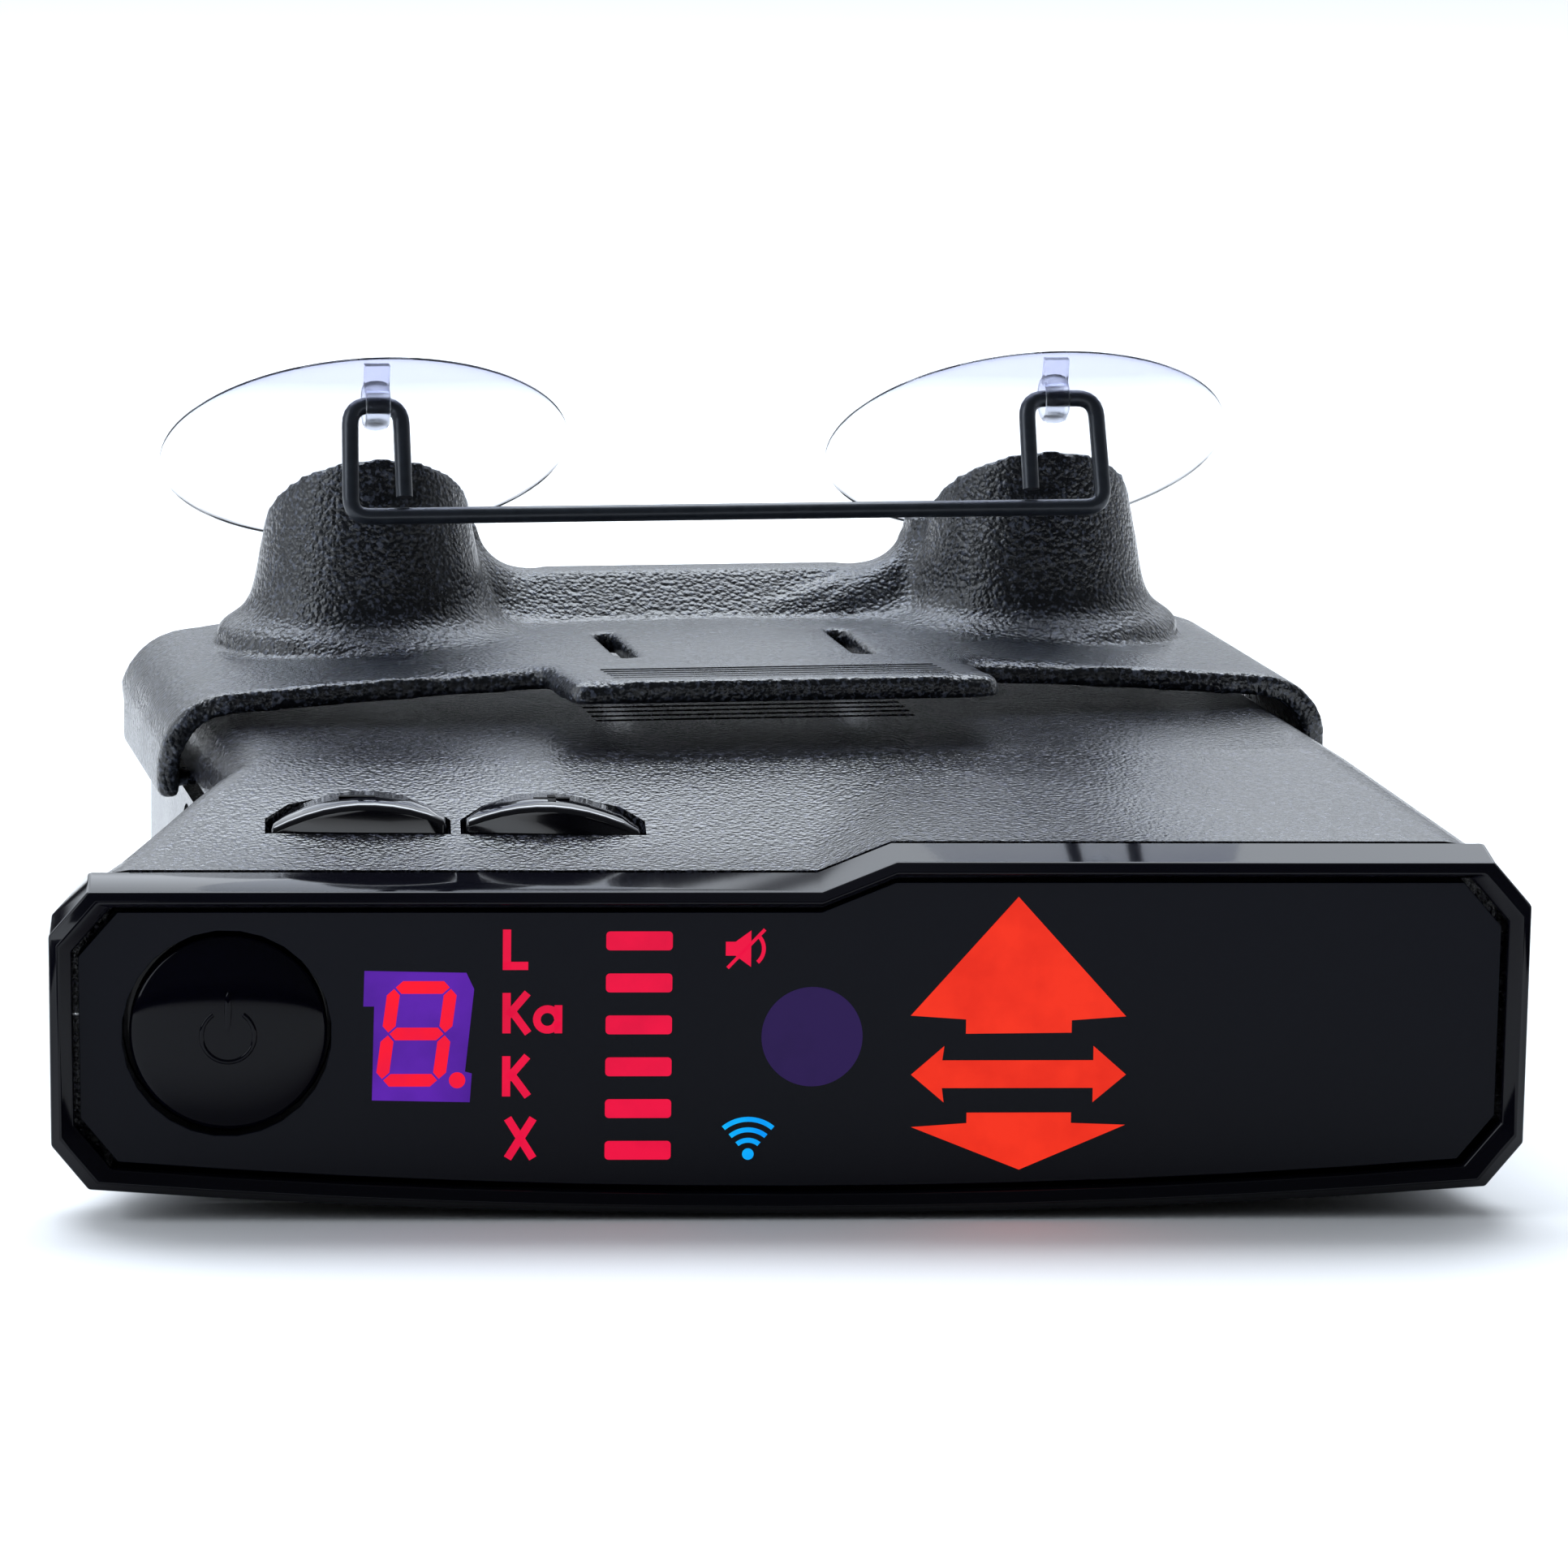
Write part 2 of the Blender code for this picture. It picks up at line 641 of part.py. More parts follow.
def make_key_board(look):
    """Narrow board that carries the two key switches."""
    mesh = bmesh.new()
    middle = KEY_FRONT_W + KEY_DEEP / 2
    face_box(mesh, (-28.0, -7.0), (middle - 1.2, middle + 4.5), (MAIN_BOARD_Z, MAIN_BOARD_Z + BOARD_THICK))
    return finish("key_board", mesh, look)


def make_key_switch(name, key, look):
    """Push switch under a key."""
    mesh = bmesh.new()
    centre = KEY_CENTRES[key]
    middle = KEY_FRONT_W + KEY_DEEP / 2
    base = MAIN_BOARD_Z + BOARD_THICK + GAP
    face_box(mesh, (centre - 2.6, centre + 2.6), (middle - 1.1, middle + 4.1), (base, base + SWITCH_HIGH))
    return finish(name, mesh, look)


def make_screw(name, x, y, look):
    """Case screw, entered from below."""
    mesh = bmesh.new()
    head = SCREW_RECESS - GAP / 2
    low = head - SCREW_HEAD_HIGH
    turned(mesh, [(0.0, low + 0.5), (0.7, low + 0.5), (0.9, low), (SCREW_HEAD_RADIUS, low + 0.1),
                  (SCREW_HEAD_RADIUS, head), (SCREW_RADIUS, head), (SCREW_RADIUS, SCREW_LONG),
                  (0.0, SCREW_LONG + 0.8)], (x, y, 0), (0, 0, 1), 16)
    return finish(name, mesh, look)


# ---------------------------------------------------------------- inside


def make_main_board(look):
    """Main board on the case floor's standoffs, between the screw bosses."""
    mesh = bmesh.new()
    box(mesh, (-MAIN_BOARD_HALF, MAIN_BOARD_FRONT, MAIN_BOARD_Z),
        (MAIN_BOARD_HALF, MAIN_BOARD_REAR, MAIN_BOARD_Z + BOARD_THICK))
    return finish("main_board", mesh, look)


def make_on_board(name, x_range, y_range, high, look):
    """A plain component that stands on the main board."""
    mesh = bmesh.new()
    base = MAIN_BOARD_Z + BOARD_THICK + GAP
    box(mesh, (x_range[0], y_range[0], base), (x_range[1], y_range[1], base + high))
    return finish(name, mesh, look)


def make_horn(look):
    """Horn antenna: a hollow flare that opens to the rear."""
    mesh = bmesh.new()
    base = MAIN_BOARD_Z + BOARD_THICK + GAP
    wall = 1.0

    def rectangle(half, low, high, y):
        return [Vector((x, y, z)) for x, z in ((-half, low), (half, low), (half, high), (-half, high))]

    front = 66.0
    rear = CASE_REAR - CASE_WALL - 3.0
    throat = (3.4, base + 1.4, base + 5.0)
    mouth = (12.5, base, base + 7.2)
    loft(mesh, [
        rectangle(throat[0], throat[1], throat[2], front + 2.0),
        rectangle(mouth[0] - wall, mouth[1] + wall, mouth[2] - wall, rear),
        rectangle(mouth[0], mouth[1], mouth[2], rear),
        rectangle(throat[0] + wall, throat[1] - wall, throat[2] + wall, front),
    ])
    return finish("horn_antenna", mesh, look)


def make_speaker(look):
    """Round speaker under the louvres."""
    mesh = bmesh.new()
    top = CASE_TOP - CASE_WALL - GAP
    turned(mesh, [(0.0, top - 5.5), (4.5, top - 5.5), (4.8, top - 3.6), (SPEAKER_RADIUS - 1.2, top - 1.6),
                  (SPEAKER_RADIUS, top - 1.4), (SPEAKER_RADIUS, top), (SPEAKER_RADIUS - 1.0, top),
                  (3.0, top - 1.4), (0.0, top - 0.9)], (0, SPEAKER_Y, 0), (0, 0, 1), 24)
    return finish("speaker", mesh, look)


def make_jack(look):
    """Power jack: a block on the board with a round mouth in the case's side."""
    mesh = bmesh.new()
    base = MAIN_BOARD_Z + BOARD_THICK + GAP
    inner_wall = -CASE_HALF + CASE_WALL + GAP
    box(mesh, (inner_wall, JACK_Y - 4.5, base), (inner_wall + 12.0, JACK_Y + 4.5, JACK_Z + 3.6))
    jack = finish("power_jack", mesh, look)
    mouth = bmesh.new()
    turned(mouth, [(0.0, 0.4), (JACK_RADIUS, 0.4), (JACK_RADIUS, 3.0), (0.0, 3.0)],
           (-CASE_HALF, JACK_Y, JACK_Z), (1, 0, 0), 24)
    combine(jack, finish("jack_mouth", mouth, cutter=True), "UNION")
    hole = bmesh.new()
    turned(hole, [(0.0, 0.0), (JACK_RADIUS - 0.7, 0.0), (JACK_RADIUS - 0.7, 9.0), (0.0, 9.0)],
           (-CASE_HALF, JACK_Y, JACK_Z), (1, 0, 0), 24)
    combine(jack, finish("jack_hole", hole, cutter=True), "DIFFERENCE")
    pin = bmesh.new()
    rod(pin, (-CASE_HALF, JACK_Y, JACK_Z), (1, 0, 0), 0.55, 2.0, 10.0, 12)
    combine(jack, finish("jack_pin", pin, cutter=True), "UNION")
    return jack


def make_usb(look):
    """Data socket: a thin metal shell open to the side, with a tongue inside."""
    mesh = bmesh.new()
    base = MAIN_BOARD_Z + BOARD_THICK + GAP
    outer = -CASE_HALF + 0.5
    box(mesh, (outer, USB_Y - USB_LONG / 2, base), (outer + 7.0, USB_Y + USB_LONG / 2, base + USB_HIGH))
    usb = finish("data_socket", mesh, look)
    hole = bmesh.new()
    wall = 0.4
    box(hole, (outer - 1.0, USB_Y - USB_LONG / 2 + wall, base + wall),
        (outer + 6.0, USB_Y + USB_LONG / 2 - wall, base + USB_HIGH - wall))
    combine(usb, finish("usb_hole", hole, cutter=True), "DIFFERENCE")
    tongue = bmesh.new()
    box(tongue, (outer + 1.0, USB_Y - 2.6, base + 1.0), (outer + 6.5, USB_Y + 2.6, base + 1.6))
    combine(usb, finish("usb_tongue", tongue, cutter=True), "UNION")
    return usb


def make_rear_window(look):
    """Infrared window in the rear wall."""
    mesh = bmesh.new()
    box(mesh, (-REAR_WINDOW_HALF + GAP, CASE_REAR - CASE_WALL, REAR_WINDOW_LOW + GAP),
        (REAR_WINDOW_HALF - GAP, CASE_REAR - GAP, REAR_WINDOW_HIGH - GAP))
    return finish("rear_window", mesh, look)


def make_laser_sensor(look):
    """Laser sensor with its lens, beside the horn and ahead of the rear window."""
    mesh = bmesh.new()
    rear = CASE_REAR - CASE_WALL - GAP
    centre = (15.0, rear, 11.7)
    turned(mesh, [(0.0, -7.0), (1.8, -7.0), (1.8, -1.6), (1.5, -0.8), (0.8, -0.2), (0.0, 0.0)],
           centre, (0, 1, 0), 20)
    return finish("laser_sensor", mesh, look)


def make_flat_cable(look):
    """Flat cable from the display board to the main board."""
    mesh = bmesh.new()
    start = face_point(12.0, DISPLAY_BOARD_W + BOARD_THICK + GAP, 0).y
    top = MAIN_BOARD_Z + BOARD_THICK + GAP
    thick = 0.4
    outline = [(start, 8.0), (start + thick, 8.0), (start + thick, top + thick), (MAIN_BOARD_FRONT + 3.0, top + thick),
               (MAIN_BOARD_FRONT + 3.0, top), (start, top)]
    half = 4.0
    loft(mesh, [[Vector((x, y, z)) for y, z in outline] for x in (9.0 - half, 9.0 + half)])
    bmesh.ops.rotate(mesh, verts=mesh.verts, cent=Vector((9.0, start, 0)),
                     matrix=Matrix.Rotation(-FACE_TURN, 3, "Z"))
    return finish("flat_cable", mesh, look)


# ---------------------------------------------------------------- bracket


def arch_points():
    """The bracket's outer cross-section as (x, z) points from the right wing's tip to the left one's."""
    centre = (WING_HALF - WING_SHOULDER, DECK_TOP - DECK_CROWN - WING_SHOULDER)
    right = [(WING_HALF, WING_LOW)]
    right += arc(centre, WING_SHOULDER, 0, 84, 5)
    for x in (26.0, 22.0, 17.0, 12.0, 6.0):
        right.append((x, DECK_TOP - DECK_CROWN * (x / centre[0]) ** 2))
    return right + [(0.0, DECK_TOP)] + [(-x, z) for x, z in reversed(right)]


def wing_share(x):
    """0 on the deck, 1 at the wings' tips."""
    return min(1.0, max(0.0, (abs(x) - 24.0) / (WING_HALF - 24.0)))


def make_bracket(look):
    """Saddle over the case with side rails, a tongue, a ridge and two posts, all one moulding."""
    mesh = bmesh.new()
    sections = []
    steps = 8
    for k in range(steps + 1):
        section = []
        for x, z in arch_points():
            wing = wing_share(x)
            low_share = wing if z < DECK_TOP - DECK_CROWN - WING_SHOULDER + 1e-6 else wing * 0.6
            front = mix(DECK_FRONT, WING_FRONT, low_share)
            rear = mix(DECK_REAR, WING_REAR, low_share ** 2)
            y = mix(front, rear, k / steps)
            section.append(Vector((x, y, z)))
        sections.append(section)
    loft(mesh, sections, closed=False, ends=False)
    bracket = finish("mount_bracket", mesh, look)
    wall = bracket.modifiers.new("Wall", "SOLIDIFY")
    wall.thickness = WING_WALL * MM
    wall.offset = -1.0
    wall.use_even_offset = True

    tongue = bmesh.new()
    corner = 1.2
    root = DECK_FRONT + 3.0
    drop = TONGUE_TOP - DECK_TOP + 0.25
    plan = [(-TONGUE_HALF, root)]
    plan += arc((-TONGUE_HALF + corner, TONGUE_FRONT + corner), corner, 180, 270, 4)
    plan += arc((TONGUE_HALF - corner, TONGUE_FRONT + corner), corner, 270, 360, 4)
    plan += [(TONGUE_HALF, root)]
    levels = []
    for z in (TONGUE_TOP - TONGUE_THICK, TONGUE_TOP):
        levels.append([Vector((x, y, z - drop * (y - TONGUE_FRONT) / (root - TONGUE_FRONT))) for x, y in plan])
    loft(tongue, levels)
    combine(bracket, finish("bracket_tongue", tongue, cutter=True), "UNION")

    ridge = bmesh.new()
    foot = DECK_TOP - 0.8
    edge = RIDGE_HALF + RIDGE_FILLET + 2.0
    outline = [(-edge, foot), (edge, foot), (edge, RIDGE_TOP + RIDGE_FILLET)]
    outline += arc((RIDGE_HALF, RIDGE_TOP + RIDGE_FILLET), RIDGE_FILLET, 0, -90, 5)
    outline += arc((-RIDGE_HALF, RIDGE_TOP + RIDGE_FILLET), RIDGE_FILLET, -90, -180, 5)
    outline += [(-edge, RIDGE_TOP + RIDGE_FILLET)]
    front = [Vector((x, RIDGE_Y - RIDGE_SLOPE * max(0.0, RIDGE_TOP - z), z)) for x, z in outline]
    loft(ridge, [front, [Vector((x, RIDGE_Y + RIDGE_THICK, z)) for x, z in outline]])
    combine(bracket, finish("bracket_ridge", ridge, cutter=True), "UNION")

    posts = bmesh.new()
    foot_top = DECK_TOP
    flare = arc((POST_FOOT_RADIUS + POST_FILLET, foot_top + POST_FILLET), POST_FILLET, 270, 180, 4)
    high = POST_TOP + CUP_RADIUS
    lean = (POST_FOOT_RADIUS - POST_TOP_RADIUS) / (POST_TOP + 3.0 - foot_top - POST_FILLET)
    top_radius = POST_FOOT_RADIUS - lean * (high - foot_top - POST_FILLET)
    profile = [(0.0, foot), (POST_FOOT_RADIUS + POST_FILLET, foot)] + flare + [(top_radius, high), (0.0, high)]
    for side in (-1, 1):
        turned(posts, profile, (side * POST_X, POST_Y, 0), (0, 0, 1))
    normal = cup_axis()
    cut = bmesh.ops.bisect_plane(posts, geom=posts.verts[:] + posts.edges[:] + posts.faces[:],
                                 plane_co=(0, POST_Y, POST_TOP), plane_no=normal, clear_outer=True)
    rims = [part for part in cut["geom_cut"] if isinstance(part, bmesh.types.BMEdge)]
    bmesh.ops.holes_fill(posts, edges=rims)
    combine(bracket, finish("bracket_posts", posts, cutter=True), "UNION")

    rails = bmesh.new()
    for side in (-1, 1):
        inner = side * (CASE_HALF - RAIL_GROOVE_DEEP + GAP)
        outer = side * (WING_HALF - WING_WALL / 2)
        box(rails, (min(inner, outer), WING_FRONT + 3.0, RAIL_GROOVE_LOW + GAP),
            (max(inner, outer), WING_FRONT + 3.0 + RAIL_LONG, RAIL_GROOVE_HIGH - GAP))
    combine(bracket, finish("bracket_rails", rails, cutter=True), "UNION")

    cuts = bmesh.new()
    for side in (-1, 1):
        x = side * SLOT_X
        box(cuts, (x - SLOT_WIDE / 2, SLOT_FRONT, DECK_TOP - 4.0), (x + SLOT_WIDE / 2, SLOT_FRONT + SLOT_LONG, DECK_TOP + 3.0))
        rod(cuts, (side * POST_X, POST_Y, POST_TOP), normal, CUP_NECK_RADIUS + GAP, -CUP_NECK_DEEP - 2 * GAP, 2.0, 20)
    combine(bracket, finish("bracket_cuts", cuts, cutter=True), "DIFFERENCE")
    return bracket


def cup_axis():
    """Direction in which the suction cups face."""
    return Vector((0.0, math.sin(CUP_TILT), math.cos(CUP_TILT)))


def make_cup(name, side, look):
    """Clear suction cup with a neck in the post and a pull tab looped round the release wire."""
    mesh = bmesh.new()
    centre = Vector((side * POST_X, POST_Y, POST_TOP))
    profile = [(0.0, -CUP_NECK_DEEP), (CUP_NECK_RADIUS, -CUP_NECK_DEEP), (CUP_NECK_RADIUS, -0.4), (2.3, 0.1),
               (2.4, 0.7), (3.6, 1.2), (7.0, 1.95), (10.2, 2.65), (CUP_RADIUS, 3.2), (CUP_RADIUS, CUP_HIGH),
               (11.1, CUP_HIGH), (8.0, 2.75), (4.0, 2.1), (0.0, 1.9)]
    turned(mesh, profile, centre, cup_axis(), 36)
    cup = finish(name, mesh, look)

    rim = centre + cup_axis() * (CUP_HIGH - 0.2) + Vector((0, -math.cos(CUP_TILT), math.sin(CUP_TILT))) * (CUP_RADIUS - 0.5)
    eye = Vector((TAB_X[side], WIRE_TOP_Y, WIRE_TOP_Z))
    eye_inner = WIRE_RADIUS + GAP + 0.1
    eye_outer = eye_inner + TAB_THICK
    x_low = TAB_X[side] - TAB_WIDE / 2
    x_high = TAB_X[side] + TAB_WIDE / 2
    strap = bmesh.new()
    run = Vector((0, eye.y - rim.y, eye.z - rim.z))
    along = run.normalized()
    sideways = Vector((0, along.z, -along.y)) * (TAB_THICK / 2)
    start = Vector((0, rim.y, rim.z)) + sideways
    stop = Vector((0, eye.y, eye.z)) - along * (eye_inner + TAB_THICK / 2)
    corners = [start + sideways, start - sideways, stop - sideways, stop + sideways]
    loft(strap, [[Vector((x, corner.y, corner.z)) for corner in corners] for x in (x_low, x_high)])
    combine(cup, finish(name + "_strap", strap, cutter=True), "UNION")
    loop = bmesh.new()
    rings = []
    for radius, x in ((eye_inner, x_low), (eye_inner, x_high), (eye_outer, x_high), (eye_outer, x_low)):
        rings.append([Vector((x, eye.y + a, eye.z + b)) for a, b in arc((0, 0), radius, 0, 345, 23)])
    ring(loop, rings)
    combine(cup, finish(name + "_eye", loop, cutter=True), "UNION")
    return cup


def rounded_path(corners, radius, steps=4):
    """A path through corner points with each inner corner replaced by an arc-like bend."""
    path = [corners[0]]
    for before, corner, after in zip(corners, corners[1:], corners[2:]):
        start = corner + (before - corner).normalized() * radius
        stop = corner + (after - corner).normalized() * radius
        for k in range(steps + 1):
            share = k / steps
            path.append(start * (1 - share) ** 2 + corner * 2 * share * (1 - share) + stop * share ** 2)
    path.append(corners[-1])
    return path


def make_release_wire(look):
    """Bent wire through both tabs: pull it forward and it peels the cups off the glass."""
    slope = Vector((0, WIRE_LOW_Y - WIRE_TOP_Y, WIRE_LOW_Z - WIRE_TOP_Z))
    top = Vector((0, WIRE_TOP_Y, WIRE_TOP_Z))

    def spot(x, share):
        return top + slope * share + Vector((x, 0, 0))

    ends = []
    for side in (-1, 1):
        inner = WIRE_INNER_X[side]
        ends.append([spot(inner, 0.83), spot(inner, 0.0), spot(side * (WIRE_OUTER_X - 0.2), 0.0),
                     spot(side * WIRE_OUTER_X, 1.0)])
    path = rounded_path(ends[0] + list(reversed(ends[1])), WIRE_BEND)
    curve = bpy.data.curves.new("release_wire", "CURVE")
    curve.dimensions = "3D"
    curve.bevel_depth = WIRE_RADIUS * MM
    curve.bevel_resolution = 2
    curve.render_resolution_u = 0
    curve.use_fill_caps = True
    spline = curve.splines.new("POLY")
    spline.points.add(len(path) - 1)
    pivot = place((0, WIRE_TOP_Y, WIRE_TOP_Z))
    for point, spot_here in zip(spline.points, path):
        point.co = (*(place(spot_here) - pivot), 1.0)
    curve.materials.append(look)
    wire = bpy.data.objects.new("release_wire", curve)
    wire.location = pivot
    bpy.context.collection.objects.link(wire)
    return wire


# ---------------------------------------------------------------- assembly


def build():
    """Make every piece."""
    for old in list(bpy.data.objects):
        bpy.data.objects.remove(old, do_unlink=True)
    gloss = material("gloss_black", (0.012, 0.012, 0.016), 0.08)
    smoked = material("smoked_window", (0.01, 0.01, 0.016), 0.12)
    matte = material("matte_charcoal", (0.055, 0.06, 0.07), 0.6)
    clear = material("clear_vinyl", (0.8, 0.83, 0.95), 0.1, alpha=0.35)
    wire = material("dark_wire", (0.03, 0.035, 0.045), 0.35, metallic=0.6)
    board = material("circuit_board", (0.02, 0.16, 0.06), 0.5)
    component = material("black_component", (0.03, 0.03, 0.03), 0.5)
    steel = material("bright_steel", (0.6, 0.6, 0.62), 0.3, metallic=1.0)
    cast = material("cast_zinc", (0.5, 0.51, 0.53), 0.45, metallic=0.9)
    red = material("red_light_guide", (0.8, 0.05, 0.05), 0.3)
    blue = material("blue_light_guide", (0.05, 0.4, 0.9), 0.3)
    violet = material("violet_lens", (0.16, 0.09, 0.35), 0.25)

    make_bezel(gloss)
    make_window(smoked)
    make_power_button(gloss)
    make_power_switch(component)
    make_display_board(board)
    digit_left = POWER_U + POWER_RADIUS + 0.8 + 0.9
    make_light_block("digit_module", (digit_left, digit_left + 5.7), (6.0, 13.0), red)
    make_light_block("band_light_guide", (-15.2, -11.4), (2.8, 15.2), red)
    make_light_block("bar_light_guide", (-9.9, -5.8), (2.8, 15.2), red)
    make_light_block("mute_light_guide", (-4.2, -0.6), (12.6, 15.2), red)
    make_light_block("wireless_light_guide", (-4.2, -0.6), (2.8, 5.8), blue)
    make_light_block("arrow_light_guide", (5.4, 17.8), (2.4, 16.8), red)
    make_light_sensor(violet)

    make_lower_case(matte)
    make_upper_case(matte)
    for name in KEY_CENTRES:
        make_key(name, gloss)
    make_key_board(board)
    make_key_switch("minus_switch", "minus_button", component)
    make_key_switch("plus_switch", "plus_button", component)
    for k, (x, y) in enumerate(screw_places()):
        make_screw("case_screw_%d" % (k + 1), x, y, steel)

    make_main_board(board)
    make_on_board("receiver_cover", (-14.0, 14.0), (50.0, 64.5), 6.0, steel)
    make_on_board("signal_processor", (16.0, 26.0), (52.0, 62.0), 1.4, component)
    make_on_board("wireless_module", (16.0, 27.0), (36.0, 48.0), 2.0, steel)
    make_horn(cast)
    make_speaker(component)
    make_jack(component)
    make_usb(steel)
    make_rear_window(smoked)
    make_laser_sensor(violet)
    make_flat_cable(component)

    make_bracket(matte)
    make_cup("suction_cup_left", -1, clear)
    make_cup("suction_cup_right", 1, clear)
    make_release_wire(wire)


build()
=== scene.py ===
"""Looks of the radar detector: grained black mouldings, a smoked lit display, clear cups and a dark wire."""

import json
import math

import bmesh
import bpy
from mathutils import Matrix, Vector


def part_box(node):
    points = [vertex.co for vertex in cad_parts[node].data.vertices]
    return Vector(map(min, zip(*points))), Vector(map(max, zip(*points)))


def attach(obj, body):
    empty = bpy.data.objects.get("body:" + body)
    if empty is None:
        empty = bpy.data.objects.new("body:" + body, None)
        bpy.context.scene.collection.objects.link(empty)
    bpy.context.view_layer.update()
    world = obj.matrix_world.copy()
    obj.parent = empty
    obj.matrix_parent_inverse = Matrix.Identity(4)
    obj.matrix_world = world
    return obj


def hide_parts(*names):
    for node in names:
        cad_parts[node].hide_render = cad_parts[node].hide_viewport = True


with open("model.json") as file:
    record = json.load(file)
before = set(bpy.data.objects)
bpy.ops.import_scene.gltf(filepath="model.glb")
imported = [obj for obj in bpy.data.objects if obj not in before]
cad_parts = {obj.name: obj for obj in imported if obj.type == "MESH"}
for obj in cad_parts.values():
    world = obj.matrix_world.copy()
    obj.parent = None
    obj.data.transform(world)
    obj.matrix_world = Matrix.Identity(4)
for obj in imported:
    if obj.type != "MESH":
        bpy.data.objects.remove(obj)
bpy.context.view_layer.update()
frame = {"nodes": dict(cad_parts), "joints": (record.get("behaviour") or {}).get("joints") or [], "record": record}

MM = 0.001
TAU = 2 * math.pi

# Display face: u runs along it, w into it and z up from the underside, all in millimetres
WINDOW_MIDDLE = 1.6
LIT_FRONT = 0.77
LIT_BACK = 0.84

# Round pieces
FINE_ROUND = 96
BRACKET_VOXEL = 0.28
FEET_ROUNDS = 60  # smoothing of the posts' feet, then of the whole skin
SKIN_ROUNDS = 8

# The power mark: an open ring with a bar in its gap, angles in degrees.
POWER_MARK_RADIUS = 1.35
POWER_MARK_THICK = 0.14
POWER_MARK_START = 125
POWER_MARK_SWEEP = 290
POWER_BAR_UP = 1.15

# Feet of the bracket's posts, where the moulding is blended
POST_FOOT_LOW = 23.0
POST_FOOT_HIGH = 27.5
POST_REACH = 10.5

# Grip lines on the tongue
GRIP_FRONT = -21.2
GRIP_PITCH = 1.1
GRIP_HIGH = 24.05
GRIP_FALL = 0.057
GRIP_LONG = 18.6
GRIP_THICK = 0.13

# Suction cups
CUP_BAND_LOW = 35.6  # the vinyl looks lavender above here
CUP_BAND_HIGH = 38.2
CUP_HIGH = 3.45
CUP_RADIUS = 11.75
TAB_WIDE = 1.4
TAB_THICK = 0.6
TAB_IN = {"left": 1.65, "right": 2.6}  # from the wire's outer leg to the middle of the tab

# Release wire
WIRE_RADIUS = 0.475
WIRE_BEND = 1.1
LEG_IN = {"left": 3.05, "right": 4.2}  # from the wire's outer leg to its inner leg


# ---------------------------------------------------------------- places on the frame


def joint(name):
    """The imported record's joint of that name."""
    return next(j for j in frame["joints"] if j["name"] == name)


def mount(name):
    """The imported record's mount of that name."""
    return next(m for m in frame["record"]["mounts"] if m["name"] == name)


INTO_FACE = Vector(joint("power_press")["axis"]).normalized()
ALONG_FACE = Vector((INTO_FACE.y, -INTO_FACE.x, 0.0))
window_low, window_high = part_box("display_window")
FACE_CENTRE = (window_low + window_high) / 2 - INTO_FACE * WINDOW_MIDDLE * MM
FACE_CENTRE.z = 0.0


def face_point(u, w, z):
    """A point given in millimetres along, into and up the display face, in metres."""
    return FACE_CENTRE + (ALONG_FACE * u + INTO_FACE * w + Vector((0.0, 0.0, z))) * MM


FACE_MATRIX = Matrix((
    (ALONG_FACE.x * MM, 0.0, INTO_FACE.x * MM, FACE_CENTRE.x),
    (ALONG_FACE.y * MM, 0.0, INTO_FACE.y * MM, FACE_CENTRE.y),
    (0.0, MM, 0.0, 0.0),
    (0.0, 0.0, 0.0, 1.0)))


# ---------------------------------------------------------------- shader helpers


def srgb(red, green, blue):
    """A colour given as eight-bit display values, in linear light."""
    def linear(value):
        value /= 255
        return value / 12.92 if value <= 0.04045 else ((value + 0.055) / 1.055) ** 2.4
    return (linear(red), linear(green), linear(blue), 1.0)


def new_material(name, color, roughness, metallic=0.0):
    """A Principled material; returns it, its nodes, its links and its shader."""
    made = bpy.data.materials.new(name)
    made.use_nodes = True
    tree = made.node_tree
    shader = tree.nodes["Principled BSDF"]
    shader.inputs["Base Color"].default_value = color
    shader.inputs["Roughness"].default_value = roughness
    shader.inputs["Metallic"].default_value = metallic
    return made, tree.nodes, tree.links, shader


def group_socket(group, name, way, kind, value=None):
    """Add a named socket to a node group."""
    socket = group.interface.new_socket(name=name, in_out=way, socket_type=kind)
    if value is not None:
        socket.default_value = value


